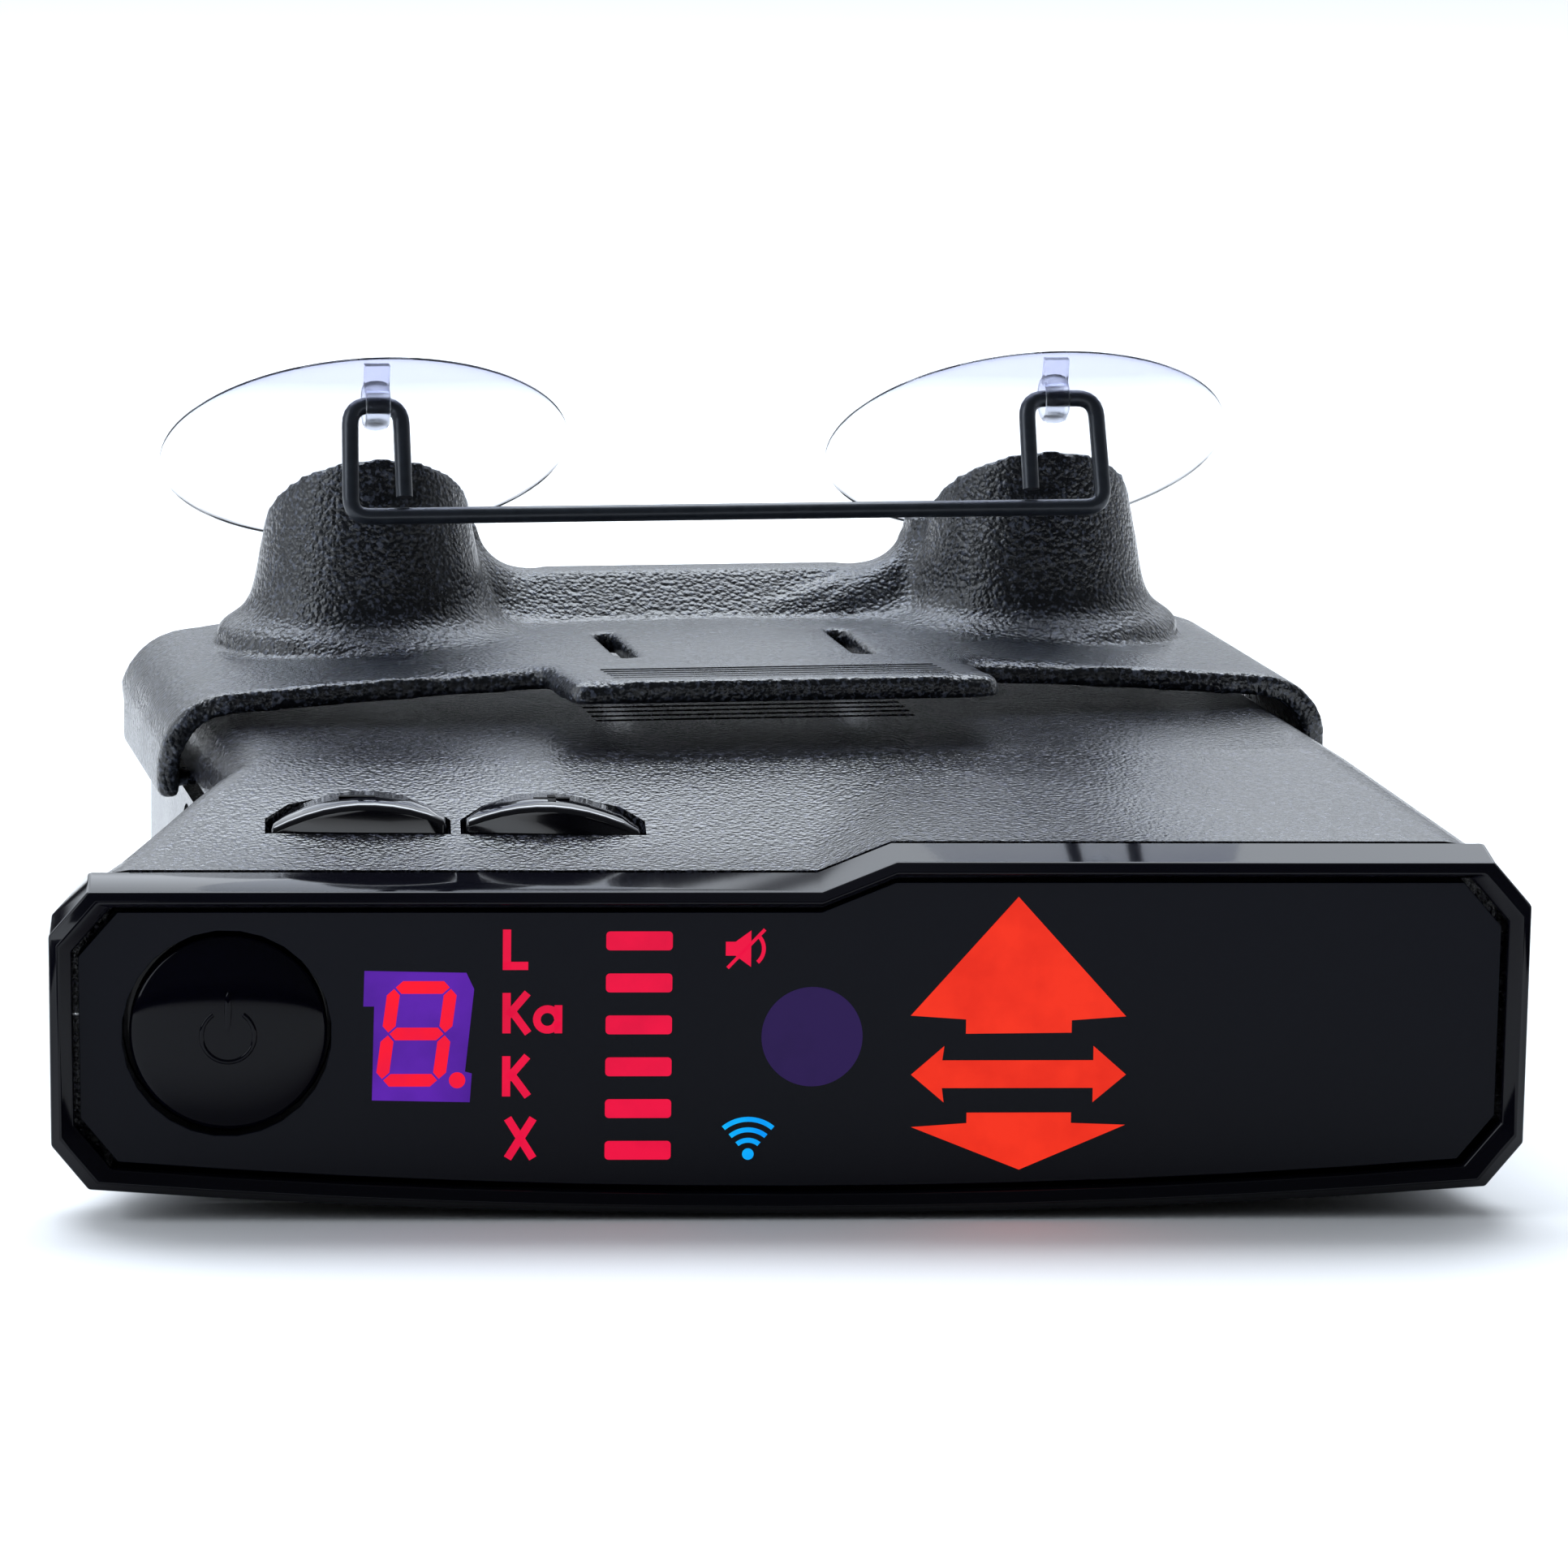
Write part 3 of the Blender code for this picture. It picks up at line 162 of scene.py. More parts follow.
def build_grain_and_glints():
    """Node group: the pebbled grain of an etched mould, as a height, a mask of painted glints (light specks
    standing in for light sparkling on the grain) and a slow mottle.
    """
    group = bpy.data.node_groups.new("moulded_grain_and_glints", "ShaderNodeTree")
    group_socket(group, "Pebble Size", "INPUT", "NodeSocketFloat", 0.36)
    group_socket(group, "Height", "OUTPUT", "NodeSocketFloat")
    group_socket(group, "Painted Glint", "OUTPUT", "NodeSocketFloat")
    group_socket(group, "Mottle", "OUTPUT", "NodeSocketFloat")
    nodes, links = group.nodes, group.links
    ends_in = nodes.new("NodeGroupInput")
    ends_out = nodes.new("NodeGroupOutput")
    where = nodes.new("ShaderNodeTexCoord")
    per_metre = nodes.new("ShaderNodeMath")
    per_metre.operation = "DIVIDE"
    per_metre.inputs[0].default_value = 1.0 / MM
    links.new(ends_in.outputs["Pebble Size"], per_metre.inputs[1])

    warp = nodes.new("ShaderNodeTexNoise")
    warp.inputs["Scale"].default_value = 1500.0
    links.new(where.outputs["Object"], warp.inputs["Vector"])
    bend = nodes.new("ShaderNodeMix")
    bend.data_type = "VECTOR"
    bend.inputs["Factor"].default_value = 0.00016
    links.new(where.outputs["Object"], bend.inputs[4])
    links.new(warp.outputs["Color"], bend.inputs[5])

    pebble = nodes.new("ShaderNodeTexVoronoi")
    pebble.feature = "SMOOTH_F1"
    pebble.inputs["Smoothness"].default_value = 0.35
    links.new(bend.outputs[1], pebble.inputs["Vector"])
    links.new(per_metre.outputs[0], pebble.inputs["Scale"])

    fine = nodes.new("ShaderNodeTexNoise")
    fine.inputs["Detail"].default_value = 3.0
    fine.inputs["Scale"].default_value = 3600.0
    links.new(where.outputs["Object"], fine.inputs["Vector"])

    height = nodes.new("ShaderNodeMath")
    height.operation = "MULTIPLY_ADD"
    height.inputs[1].default_value = -1.0
    links.new(pebble.outputs["Distance"], height.inputs[0])
    links.new(fine.outputs["Fac"], height.inputs[2])
    links.new(height.outputs[0], ends_out.inputs["Height"])

    # Painted glints: a mask of fine specks that lightens the colour where light would sparkle on the grain
    painted_glint = nodes.new("ShaderNodeMapRange")
    painted_glint.inputs["From Min"].default_value = 0.52
    painted_glint.inputs["From Max"].default_value = 0.66
    links.new(fine.outputs["Fac"], painted_glint.inputs["Value"])
    links.new(painted_glint.outputs["Result"], ends_out.inputs["Painted Glint"])

    slow = nodes.new("ShaderNodeTexNoise")
    slow.inputs["Scale"].default_value = 160.0
    slow.inputs["Detail"].default_value = 2.0
    links.new(where.outputs["Object"], slow.inputs["Vector"])
    links.new(slow.outputs["Fac"], ends_out.inputs["Mottle"])
    return group


def grained(name, color, glint_paint_color, roughness, relief, pebble, grain):
    """Matte moulded plastic with the etched grain, and painted glints: light specks mixed into its colour."""
    made, nodes, links, shader = new_material(name, color, roughness)
    effect = nodes.new("ShaderNodeGroup")
    effect.node_tree = grain
    effect.inputs["Pebble Size"].default_value = pebble
    tint = nodes.new("ShaderNodeMix")
    tint.data_type = "RGBA"
    tint.inputs[6].default_value = color
    tint.inputs[7].default_value = glint_paint_color
    links.new(effect.outputs["Painted Glint"], tint.inputs["Factor"])
    links.new(tint.outputs[2], shader.inputs["Base Color"])
    rough = nodes.new("ShaderNodeMapRange")
    rough.inputs["To Min"].default_value = roughness - 0.06
    rough.inputs["To Max"].default_value = roughness + 0.08
    links.new(effect.outputs["Mottle"], rough.inputs["Value"])
    links.new(rough.outputs["Result"], shader.inputs["Roughness"])
    bump = nodes.new("ShaderNodeBump")
    bump.inputs["Strength"].default_value = 1.0
    bump.inputs["Distance"].default_value = relief * MM
    links.new(effect.outputs["Height"], bump.inputs["Height"])
    links.new(bump.outputs["Normal"], shader.inputs["Normal"])
    return made


def build_handled_gloss():
    """Node group: the faint unevenness of a polished moulding, as a roughness and a height."""
    group = bpy.data.node_groups.new("handled_gloss", "ShaderNodeTree")
    group_socket(group, "Polish", "INPUT", "NodeSocketFloat", 0.05)
    group_socket(group, "Haze", "INPUT", "NodeSocketFloat", 0.05)
    group_socket(group, "Roughness", "OUTPUT", "NodeSocketFloat")
    group_socket(group, "Height", "OUTPUT", "NodeSocketFloat")
    nodes, links = group.nodes, group.links
    ends_in = nodes.new("NodeGroupInput")
    ends_out = nodes.new("NodeGroupOutput")
    where = nodes.new("ShaderNodeTexCoord")
    smear = nodes.new("ShaderNodeTexNoise")
    smear.inputs["Scale"].default_value = 90.0
    smear.inputs["Detail"].default_value = 6.0
    links.new(where.outputs["Object"], smear.inputs["Vector"])
    haze = nodes.new("ShaderNodeMath")
    haze.operation = "MULTIPLY_ADD"
    links.new(smear.outputs["Fac"], haze.inputs[0])
    links.new(ends_in.outputs["Haze"], haze.inputs[1])
    links.new(ends_in.outputs["Polish"], haze.inputs[2])
    links.new(haze.outputs[0], ends_out.inputs["Roughness"])
    links.new(smear.outputs["Fac"], ends_out.inputs["Height"])
    return group


def glossy(name, color, polish, haze, gloss, specular, coat=0.0):
    """Polished plastic."""
    made, nodes, links, shader = new_material(name, color, polish)
    shader.inputs["Specular IOR Level"].default_value = specular
    effect = nodes.new("ShaderNodeGroup")
    effect.node_tree = gloss
    effect.inputs["Polish"].default_value = polish
    effect.inputs["Haze"].default_value = haze
    links.new(effect.outputs["Roughness"], shader.inputs["Roughness"])
    bump = nodes.new("ShaderNodeBump")
    bump.inputs["Strength"].default_value = 0.05
    bump.inputs["Distance"].default_value = 0.02 * MM
    links.new(effect.outputs["Height"], bump.inputs["Height"])
    links.new(bump.outputs["Normal"], shader.inputs["Normal"])
    shader.inputs["Coat Weight"].default_value = coat
    shader.inputs["Coat Roughness"].default_value = 0.03
    return made


def lit(name, color, edge_color, strength, patch=420.0):
    """A lit symbol with the slight unevenness of a light guide behind it."""
    made, nodes, links, shader = new_material(name, (0.0, 0.0, 0.0, 1.0), 0.5)
    where = nodes.new("ShaderNodeTexCoord")
    uneven = nodes.new("ShaderNodeTexNoise")
    uneven.inputs["Scale"].default_value = patch
    uneven.inputs["Detail"].default_value = 4.0
    links.new(where.outputs["Object"], uneven.inputs["Vector"])
    tint = nodes.new("ShaderNodeMix")
    tint.data_type = "RGBA"
    tint.inputs[6].default_value = edge_color
    tint.inputs[7].default_value = color
    spread = nodes.new("ShaderNodeMapRange")
    spread.inputs["From Min"].default_value = 0.3
    spread.inputs["From Max"].default_value = 0.6
    links.new(uneven.outputs["Fac"], spread.inputs["Value"])
    links.new(spread.outputs["Result"], tint.inputs["Factor"])
    links.new(tint.outputs[2], shader.inputs["Emission Color"])
    shader.inputs["Emission Strength"].default_value = strength
    shader.inputs["Specular IOR Level"].default_value = 0.1
    return made


def clear_vinyl(name, roughness, frost, upper_color):
    """Clear soft vinyl, a little lavender towards the cups' upper rims."""
    made, nodes, links, shader = new_material(name, (0.93, 0.94, 1.0, 1.0), roughness)
    shader.inputs["Transmission Weight"].default_value = 1.0
    shader.inputs["IOR"].default_value = 1.1
    where = nodes.new("ShaderNodeTexCoord")
    split = nodes.new("ShaderNodeSeparateXYZ")
    links.new(where.outputs["Object"], split.inputs[0])
    upper = nodes.new("ShaderNodeMapRange")
    upper.inputs["From Min"].default_value = CUP_BAND_LOW * MM
    upper.inputs["From Max"].default_value = CUP_BAND_HIGH * MM
    links.new(split.outputs["Z"], upper.inputs["Value"])
    tint = nodes.new("ShaderNodeMix")
    tint.data_type = "RGBA"
    tint.inputs[6].default_value = (0.74, 0.755, 0.79, 1.0)
    tint.inputs[7].default_value = upper_color
    links.new(upper.outputs["Result"], tint.inputs["Factor"])
    links.new(tint.outputs[2], shader.inputs["Base Color"])
    ripple = nodes.new("ShaderNodeTexNoise")
    ripple.inputs["Scale"].default_value = 900.0 if frost else 130.0
    ripple.inputs["Detail"].default_value = 3.0
    links.new(where.outputs["Object"], ripple.inputs["Vector"])
    bump = nodes.new("ShaderNodeBump")
    bump.inputs["Strength"].default_value = 1.0
    bump.inputs["Distance"].default_value = (0.08 if frost else 0.06) * MM
    links.new(ripple.outputs["Fac"], bump.inputs["Height"])
    links.new(bump.outputs["Normal"], shader.inputs["Normal"])
    return made


def speckled(name, color, second, roughness, metallic, size):
    """A plain part with fine colour variation: boards, castings, screws and components."""
    made, nodes, links, shader = new_material(name, color, roughness, metallic)
    where = nodes.new("ShaderNodeTexCoord")
    speck = nodes.new("ShaderNodeTexNoise")
    speck.inputs["Scale"].default_value = 1.0 / (size * MM)
    speck.inputs["Detail"].default_value = 4.0
    links.new(where.outputs["Object"], speck.inputs["Vector"])
    tint = nodes.new("ShaderNodeMix")
    tint.data_type = "RGBA"
    tint.inputs[6].default_value = color
    tint.inputs[7].default_value = second
    links.new(speck.outputs["Fac"], tint.inputs["Factor"])
    links.new(tint.outputs[2], shader.inputs["Base Color"])
    rough = nodes.new("ShaderNodeMapRange")
    rough.inputs["To Min"].default_value = max(0.02, roughness - 0.1)
    rough.inputs["To Max"].default_value = roughness + 0.1
    links.new(speck.outputs["Fac"], rough.inputs["Value"])
    links.new(rough.outputs["Result"], shader.inputs["Roughness"])
    bump = nodes.new("ShaderNodeBump")
    bump.inputs["Strength"].default_value = 0.4
    bump.inputs["Distance"].default_value = 0.02 * MM
    links.new(speck.outputs["Fac"], bump.inputs["Height"])
    links.new(bump.outputs["Normal"], shader.inputs["Normal"])
    return made


# ---------------------------------------------------------------- finishes

grain = build_grain_and_glints()
gloss = build_handled_gloss()

# The second colour of each grained finish is a painted glint colour: lighter specks standing in for light
# sparkling on the grain
CASE_GRAIN = grained(
    "grained_case", (0.002, 0.0022, 0.0035, 1), (0.06, 0.063, 0.085, 1), 0.22, 0.04, 0.24, grain)
BRACKET_GRAIN = grained(
    "grained_bracket", (0.003, 0.004, 0.006, 1), (0.06, 0.068, 0.092, 1), 0.26, 0.06, 0.27, grain)
PIANO_BLACK = glossy("piano_black", (0.002, 0.002, 0.004, 1), 0.05, 0.05, gloss, 0.16)
BUTTON_BLACK = glossy("button_black", (0.001, 0.001, 0.003, 1), 0.05, 0.05, gloss, 0.12)
WINDOW_BLACK = glossy("smoked_window", (0.003, 0.0035, 0.007, 1), 0.22, 0.08, gloss, 0.08)
KEY_BLACK = glossy("key_black", (0.003, 0.003, 0.005, 1), 0.05, 0.05, gloss, 0.5, coat=0.4)
MARK_DARK = glossy("engraved_mark", (0.001, 0.001, 0.001, 1), 0.45, 0.1, gloss, 0.05)
CUP_CLEAR = clear_vinyl("clear_cup", 0.05, False, (0.46, 0.475, 0.60, 1.0))
TAB_CLEAR = clear_vinyl("frosted_tab", 0.35, True, (0.78, 0.79, 0.84, 1.0))
WIRE_DARK = speckled("dark_wire", (0.012, 0.015, 0.021, 1), (0.025, 0.03, 0.04, 1), 0.34, 0.3, 0.5)
BOARD_GREEN = speckled("board_green", (0.01, 0.09, 0.035, 1), (0.015, 0.14, 0.05, 1), 0.4, 0.0, 2.0)
COMPONENT_BLACK = speckled("component_black", (0.012, 0.012, 0.012, 1), (0.03, 0.03, 0.03, 1), 0.5, 0.0, 0.6)
STEEL = speckled("bright_steel", (0.55, 0.55, 0.57, 1), (0.42, 0.42, 0.44, 1), 0.3, 1.0, 0.7)
CAST_ZINC = speckled("cast_zinc", (0.5, 0.51, 0.53, 1), (0.38, 0.39, 0.41, 1), 0.45, 1.0, 0.5)
RED_GUIDE = speckled("red_guide", (0.7, 0.03, 0.04, 1), (0.5, 0.02, 0.03, 1), 0.3, 0.0, 1.0)
BLUE_GUIDE = speckled("blue_guide", (0.03, 0.3, 0.8, 1), (0.02, 0.22, 0.6, 1), 0.3, 0.0, 1.0)
VIOLET_LENS = speckled("violet_lens", (0.06, 0.03, 0.2, 1), (0.04, 0.02, 0.15, 1), 0.2, 0.0, 1.0)
LIT_DIGIT = lit("lit_digit", srgb(255, 22, 48), srgb(240, 20, 60), 1.0)
LIT_LETTER = lit("lit_letter", srgb(238, 16, 66), srgb(222, 14, 62), 1.0)
LIT_ARROW = lit("lit_arrow", srgb(246, 52, 30), srgb(232, 44, 26), 1.0)
LIT_WIRELESS = lit("lit_wireless", srgb(10, 190, 255), srgb(0, 150, 250), 1.0)
LIT_PANEL = lit("lit_panel", srgb(92, 34, 172), srgb(70, 26, 140), 1.0, 200.0)
# Painted light: the sensor disc glows, though the light sensor behind it is no lamp
SENSOR_PAINTED_GLOW = lit("sensor_painted_glow", srgb(42, 26, 78), srgb(32, 22, 62), 1.0, 200.0)


# ---------------------------------------------------------------- mesh helpers


def settle(name, mesh, look, body, replaced=(), crease=32.0):
    """Turn a bmesh in metres into a finished piece that rides on a body."""
    data = bpy.data.meshes.new(name)
    mesh.to_mesh(data)
    mesh.free()
    data.materials.append(look)
    made = bpy.data.objects.new(name, data)
    bpy.context.scene.collection.objects.link(made)
    data.shade_smooth()
    data.set_sharp_from_angle(angle=math.radians(crease))
    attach(made, body)
    if replaced:
        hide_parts(*replaced)
    return made


def tidy_mesh(mesh):
    """Merge doubles and turn the faces outwards."""
    bmesh.ops.remove_doubles(mesh, verts=mesh.verts, dist=1e-7)
    bmesh.ops.recalc_face_normals(mesh, faces=mesh.faces)


def cad_copy(node):
    """A merged copy of a CAD node's mesh."""
    mesh = bmesh.new()
    mesh.from_mesh(frame["nodes"][node].data)
    bmesh.ops.remove_doubles(mesh, verts=mesh.verts, dist=2e-6)
    bmesh.ops.dissolve_limit(
        mesh, angle_limit=math.radians(0.3), verts=mesh.verts, edges=mesh.edges, delimit={"NORMAL"})
    return mesh


def softened(node, look, body, width, segments=2, crease=32.0):
    """A CAD node with its sharp edges rounded."""
    made = settle(node + "_finish", cad_copy(node), look, body, (node,), crease)
    edge = made.modifiers.new("Edge", "BEVEL")
    edge.width = width * MM
    edge.segments = segments
    edge.limit_method = "ANGLE"
    edge.angle_limit = math.radians(35)
    edge.use_clamp_overlap = True
    edge.harden_normals = True
    return made


def apply_all(made):
    """Keep the mesh that an object's modifiers give and drop the modifiers."""
    seen = made.evaluated_get(bpy.context.evaluated_depsgraph_get())
    data = bpy.data.meshes.new_from_object(seen)
    made.modifiers.clear()
    made.data = data


def outline(mesh, points, front, back, matrix=FACE_MATRIX):
    """Extrude a closed outline of (u, z) points between two depths of the display face."""
    ring = [mesh.verts.new((u, z, front)) for u, z in points]
    face = mesh.faces.new(ring)
    grown = bmesh.ops.extrude_face_region(mesh, geom=[face])
    moved = [part for part in grown["geom"] if isinstance(part, bmesh.types.BMVert)]
    bmesh.ops.translate(mesh, verts=moved, vec=(0.0, 0.0, back - front))
    bmesh.ops.transform(mesh, matrix=matrix, verts=ring + moved)


def around(centre, radius, start, end, steps):
    """Points on an arc, angles in degrees."""
    return [(centre[0] + radius * math.cos(math.radians(start + (end - start) * k / steps)),
             centre[1] + radius * math.sin(math.radians(start + (end - start) * k / steps)))
            for k in range(steps + 1)]


def rounded_box(low, high, radius):
    """Outline of a rectangle with rounded corners."""
    corners = ((high[0] - radius, high[1] - radius, 0), (low[0] + radius, high[1] - radius, 90),
               (low[0] + radius, low[1] + radius, 180), (high[0] - radius, low[1] + radius, 270))
    points = []
    for x, y, start in corners:
        points += around((x, y), radius, start, start + 90, 4)
    return points


def stroke(start, end, width):
    """Outline of a straight stroke."""
    a, b = Vector(start), Vector(end)
    side = (b - a).normalized()
    side = Vector((-side.y, side.x)) * (width / 2)
    return [tuple(p) for p in (a - side, b - side, b + side, a + side)]


def band(centre, inner, outer, start, end, steps=16):
    """Outline of part of a ring."""
    return around(centre, outer, start, end, steps) + around(centre, inner, end, start, steps)


# ---------------------------------------------------------------- display


def symbol(name, outlines, look, front=LIT_FRONT, back=LIT_BACK):
    """A lit symbol made of flat outlines on the display face."""
    mesh = bmesh.new()
    for points in outlines:
        outline(mesh, points, front, back)
    tidy_mesh(mesh)
    return settle(name, mesh, look, "case")


def leaned(points, foot, lean=0.13):
    """Lean an outline to the right, as the digit does."""
    return [(u + (z - foot) * lean, z) for u, z in points]


def segment(u, z, length, upright, thick=0.66):
    """Outline of one bar of the digit, with pointed ends."""
    half, tip = length / 2, thick / 2
    shape = [(-half, 0), (-half + tip, tip), (half - tip, tip),
             (half, 0), (half - tip, -tip), (-half + tip, -tip)]
    if upright:
        shape = [(-y, x) for x, y in shape]
    return [(u + x, z + y) for x, y in shape]


def make_digit():
    """Violet panel with a leaning red figure eight and its point."""
    foot = 7.15
    panel = [(-21.55, 6.1), (-16.55, 6.0), (-16.45, 7.5), (-16.8, 7.6), (-16.35, 11.9), (-16.75, 12.75),
             (-21.95, 12.85), (-22.0, 11.0), (-21.45, 11.0)]
    symbol("digit_panel", [panel], LIT_PANEL, 0.785, LIT_BACK)
    wide, high = 2.9, 2.42
    middle = -19.6
    bars = []
    for row in range(3):
        bars.append(segment(middle, foot + row * high, wide - 0.15, False))
    for row in range(2):
        for side in (-1, 1):
            bars.append(segment(middle + side * wide / 2, foot + (row + 0.5) * high, high - 0.15, True))
    shapes = [leaned(points, foot) for points in bars]
    shapes.append(around((-17.2, 7.15), 0.42, 0, 345, 23))
    symbol("digit_bars", shapes, LIT_DIGIT)


def letter_k(left, foot, high=2.1, thick=0.42):
    """Strokes of the letter K."""
    joint_z = foot + high * 0.44
    return [stroke((left + thick / 2, foot), (left + thick / 2, foot + high), thick),
            stroke((left + thick * 0.7, joint_z), (left + 1.28, foot + high), thick * 0.95),
            stroke((left + thick * 1.1, joint_z + 0.25), (left + 1.32, foot), thick * 0.95)]


def make_letters():
    """The four band names, in plain strokes."""
    left, thick, high = -14.9, 0.42, 2.1
    foot = 12.9
    shapes = [stroke((left + thick / 2, foot), (left + thick / 2, foot + high), thick),
              stroke((left, foot + thick / 2), (left + 1.3, foot + thick / 2), thick)]
    foot = 9.6
    shapes += letter_k(left, foot)
    bowl = (left + 2.3, foot + 0.72)
    shapes.append(band(bowl, 0.34, 0.74, 0, 350, 24))
    shapes.append(stroke((left + 2.86, foot), (left + 2.86, foot + 1.46), 0.4))
    shapes += letter_k(left, 6.3)
    foot = 3.05
    shapes += [stroke((left + 0.3, foot), (left + 1.6, foot + high), thick),
               stroke((left + 1.6, foot), (left + 0.3, foot + high), thick)]
    symbol("band_letters", shapes, LIT_LETTER)


def make_bars():
    """Six signal bars."""
    pitch, high = 2.19, 0.98
    shapes = []
    for k in range(6):
        foot = 13.92 - k * pitch
        shapes.append(rounded_box((-9.62, foot), (-6.22, foot + high), 0.2))
    symbol("signal_bars", shapes, LIT_LETTER)


def make_mute():
    """Crossed-out loudspeaker."""
    u, z = -2.3, 14.0
    body = [(u - 1.2, z - 0.36), (u - 0.7, z - 0.36), (u + 0.1, z - 0.95), (u + 0.1, z + 0.95),
            (u - 0.7, z + 0.36), (u - 1.2, z + 0.36)]
    shapes = [body, band((u - 0.2, z), 0.85, 1.05, -48, 48),
              stroke((u - 1.1, z - 1.0), (u + 0.8, z + 1.0), 0.17)]
    symbol("mute_mark", shapes, LIT_LETTER)


def make_wireless():
    """A dot under three arcs."""
    u, z = -2.25, 3.0
    shapes = [around((u, z + 0.25), 0.3, 0, 345, 20)]
    for k in range(3):
        shapes.append(band((u, z + 0.1), 0.75 + 0.55 * k, 1.0 + 0.55 * k, 50, 130))
    symbol("wireless_mark", shapes, LIT_WIRELESS)


def make_arrows():
    """Arrow ahead, arrow to both sides and arrow behind."""
    ahead = [(11.5, 16.7), (17.15, 10.45), (14.35, 10.25), (14.35, 9.6),
             (8.9, 9.55), (8.9, 10.3), (6.05, 10.5)]
    sides = [(6.1, 7.4), (7.8, 8.9), (7.7, 8.15), (15.5, 8.15), (15.5, 8.9), (17.2, 7.4), (15.5, 5.95),
             (15.5, 6.7), (7.7, 6.7), (7.8, 5.95)]
    behind = [(6.15, 4.65), (9.0, 4.85), (9.0, 5.4), (14.4, 5.4), (14.4, 4.85), (17.2, 4.75), (11.75, 2.4)]
    symbol("arrows", [ahead, sides, behind], LIT_ARROW)


def make_sensor_spot():
    """Dim violet disc where the light sensor looks out, made as a painted glow although the sensor is no lamp."""
    symbol("sensor_spot", [around((0.98, 9.4), 2.6, 0, 355, 71)], SENSOR_PAINTED_GLOW, 0.785)


# ---------------------------------------------------------------- power button


def turned_piece(profile, matrix, steps=FINE_ROUND):
    """A profile of (radius, height) points in millimetres spun into a solid, then put in place."""
    mesh = bmesh.new()
    chain = [mesh.verts.new((radius, 0.0, height)) for radius, height in profile]
    edges = [mesh.edges.new(pair) for pair in zip(chain, chain[1:])]
    bmesh.ops.spin(
        mesh, geom=chain + edges, cent=(0, 0, 0), axis=(0, 0, 1), angle=TAU, steps=steps, use_merge=True)
    bmesh.ops.remove_doubles(mesh, verts=mesh.verts, dist=1e-4)
    bmesh.ops.transform(mesh, matrix=matrix, verts=mesh.verts)
    bmesh.ops.recalc_face_normals(mesh, faces=mesh.faces)
    return mesh


def axis_matrix(centre, axis):
    """Millimetres along an axis from a centre, as metres in the frame."""
    turn = Vector((0, 0, 1)).rotation_difference(Vector(axis)).to_matrix().to_4x4()
    return Matrix.Translation(centre) @ turn @ Matrix.Scale(MM, 4)


def power_centre():
    """Middle of the power button on the display face."""
    low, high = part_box("power_button")
    middle = (low + high) / 2
    along = (middle - FACE_CENTRE).dot(ALONG_FACE) / MM
    return along, middle.z / MM


def make_power_button():
    """Glossy domed button with a raised power mark."""
    u, z = power_centre()
    dome = [(5.05 * math.sin(math.radians(a)), 0.1 + 1.0 * (1 - math.cos(math.radians(a)) ** 1.3))
            for a in range(0, 85, 6)]
    profile = dome + [(5.03, 1.02), (5.05, 1.25), (5.05, 2.65), (5.85, 2.7),
                      (5.85, 3.4), (1.3, 3.4), (1.3, 4.9), (0.0, 4.9)]
    mesh = turned_piece(profile, axis_matrix(face_point(u, 0, z), INTO_FACE))
    settle("power_button_finish", mesh, BUTTON_BLACK, "power", ("power_button",), 40.0)

    mark = bmesh.new()
    ring = bmesh.ops.create_circle(mark, cap_ends=False, radius=POWER_MARK_THICK, segments=12)["verts"]
    bmesh.ops.rotate(mark, verts=ring, cent=(0, 0, 0), matrix=Matrix.Rotation(math.radians(90), 3, "X"))
    bmesh.ops.translate(mark, verts=ring, vec=(POWER_MARK_RADIUS, 0, 0))
    bmesh.ops.contextual_create(mark, geom=mark.verts[:])
    bmesh.ops.rotate(mark, verts=mark.verts, cent=(0, 0, 0),
                     matrix=Matrix.Rotation(math.radians(POWER_MARK_START), 3, "Z"))
    bmesh.ops.spin(mark, geom=mark.faces[:], cent=(0, 0, 0), axis=(0, 0, 1),
                   angle=math.radians(POWER_MARK_SWEEP), steps=40)
    bar = bmesh.ops.create_uvsphere(mark, u_segments=16, v_segments=12, radius=0.24)["verts"]
    bmesh.ops.scale(mark, verts=bar, vec=(0.85, 4.8, 0.7))
    bmesh.ops.translate(mark, verts=bar, vec=(0, POWER_BAR_UP, 0))
    place = FACE_MATRIX @ Matrix.Translation((u, z, 0.2))
    bmesh.ops.transform(mark, matrix=place, verts=mark.verts)
    bmesh.ops.recalc_face_normals(mark, faces=mark.faces)
    settle("power_mark", mark, BUTTON_BLACK, "power")


# ---------------------------------------------------------------- keys


def make_keys():
    """Arched keys with their minus and plus marks."""
    for key, body in (("minus_button", "minus"), ("plus_button", "plus")):
        softened(key, KEY_BLACK, body, 0.22, 3, 40.0)
        low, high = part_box(key)
        top = Vector(((low.x + high.x) / 2, (low.y + high.y) / 2, high.z)) + Vector((0, 0.0003, 0))
        turn = Matrix.Rotation(math.atan2(ALONG_FACE.y, ALONG_FACE.x), 4, "Z")
        mesh = bmesh.new()
        place = Matrix.Translation(top) @ turn @ Matrix.Scale(MM, 4)
        marks = [stroke((-0.95, 0), (0.95, 0), 0.42)]
        if key == "plus_button":
            marks.append(stroke((0, -0.95), (0, 0.95), 0.42))
        for points in marks:
            outline(mesh, points, -0.14, 0.0, place)
        tidy_mesh(mesh)
        settle(key + "_mark", mesh, MARK_DARK, body)


# ---------------------------------------------------------------- bracket


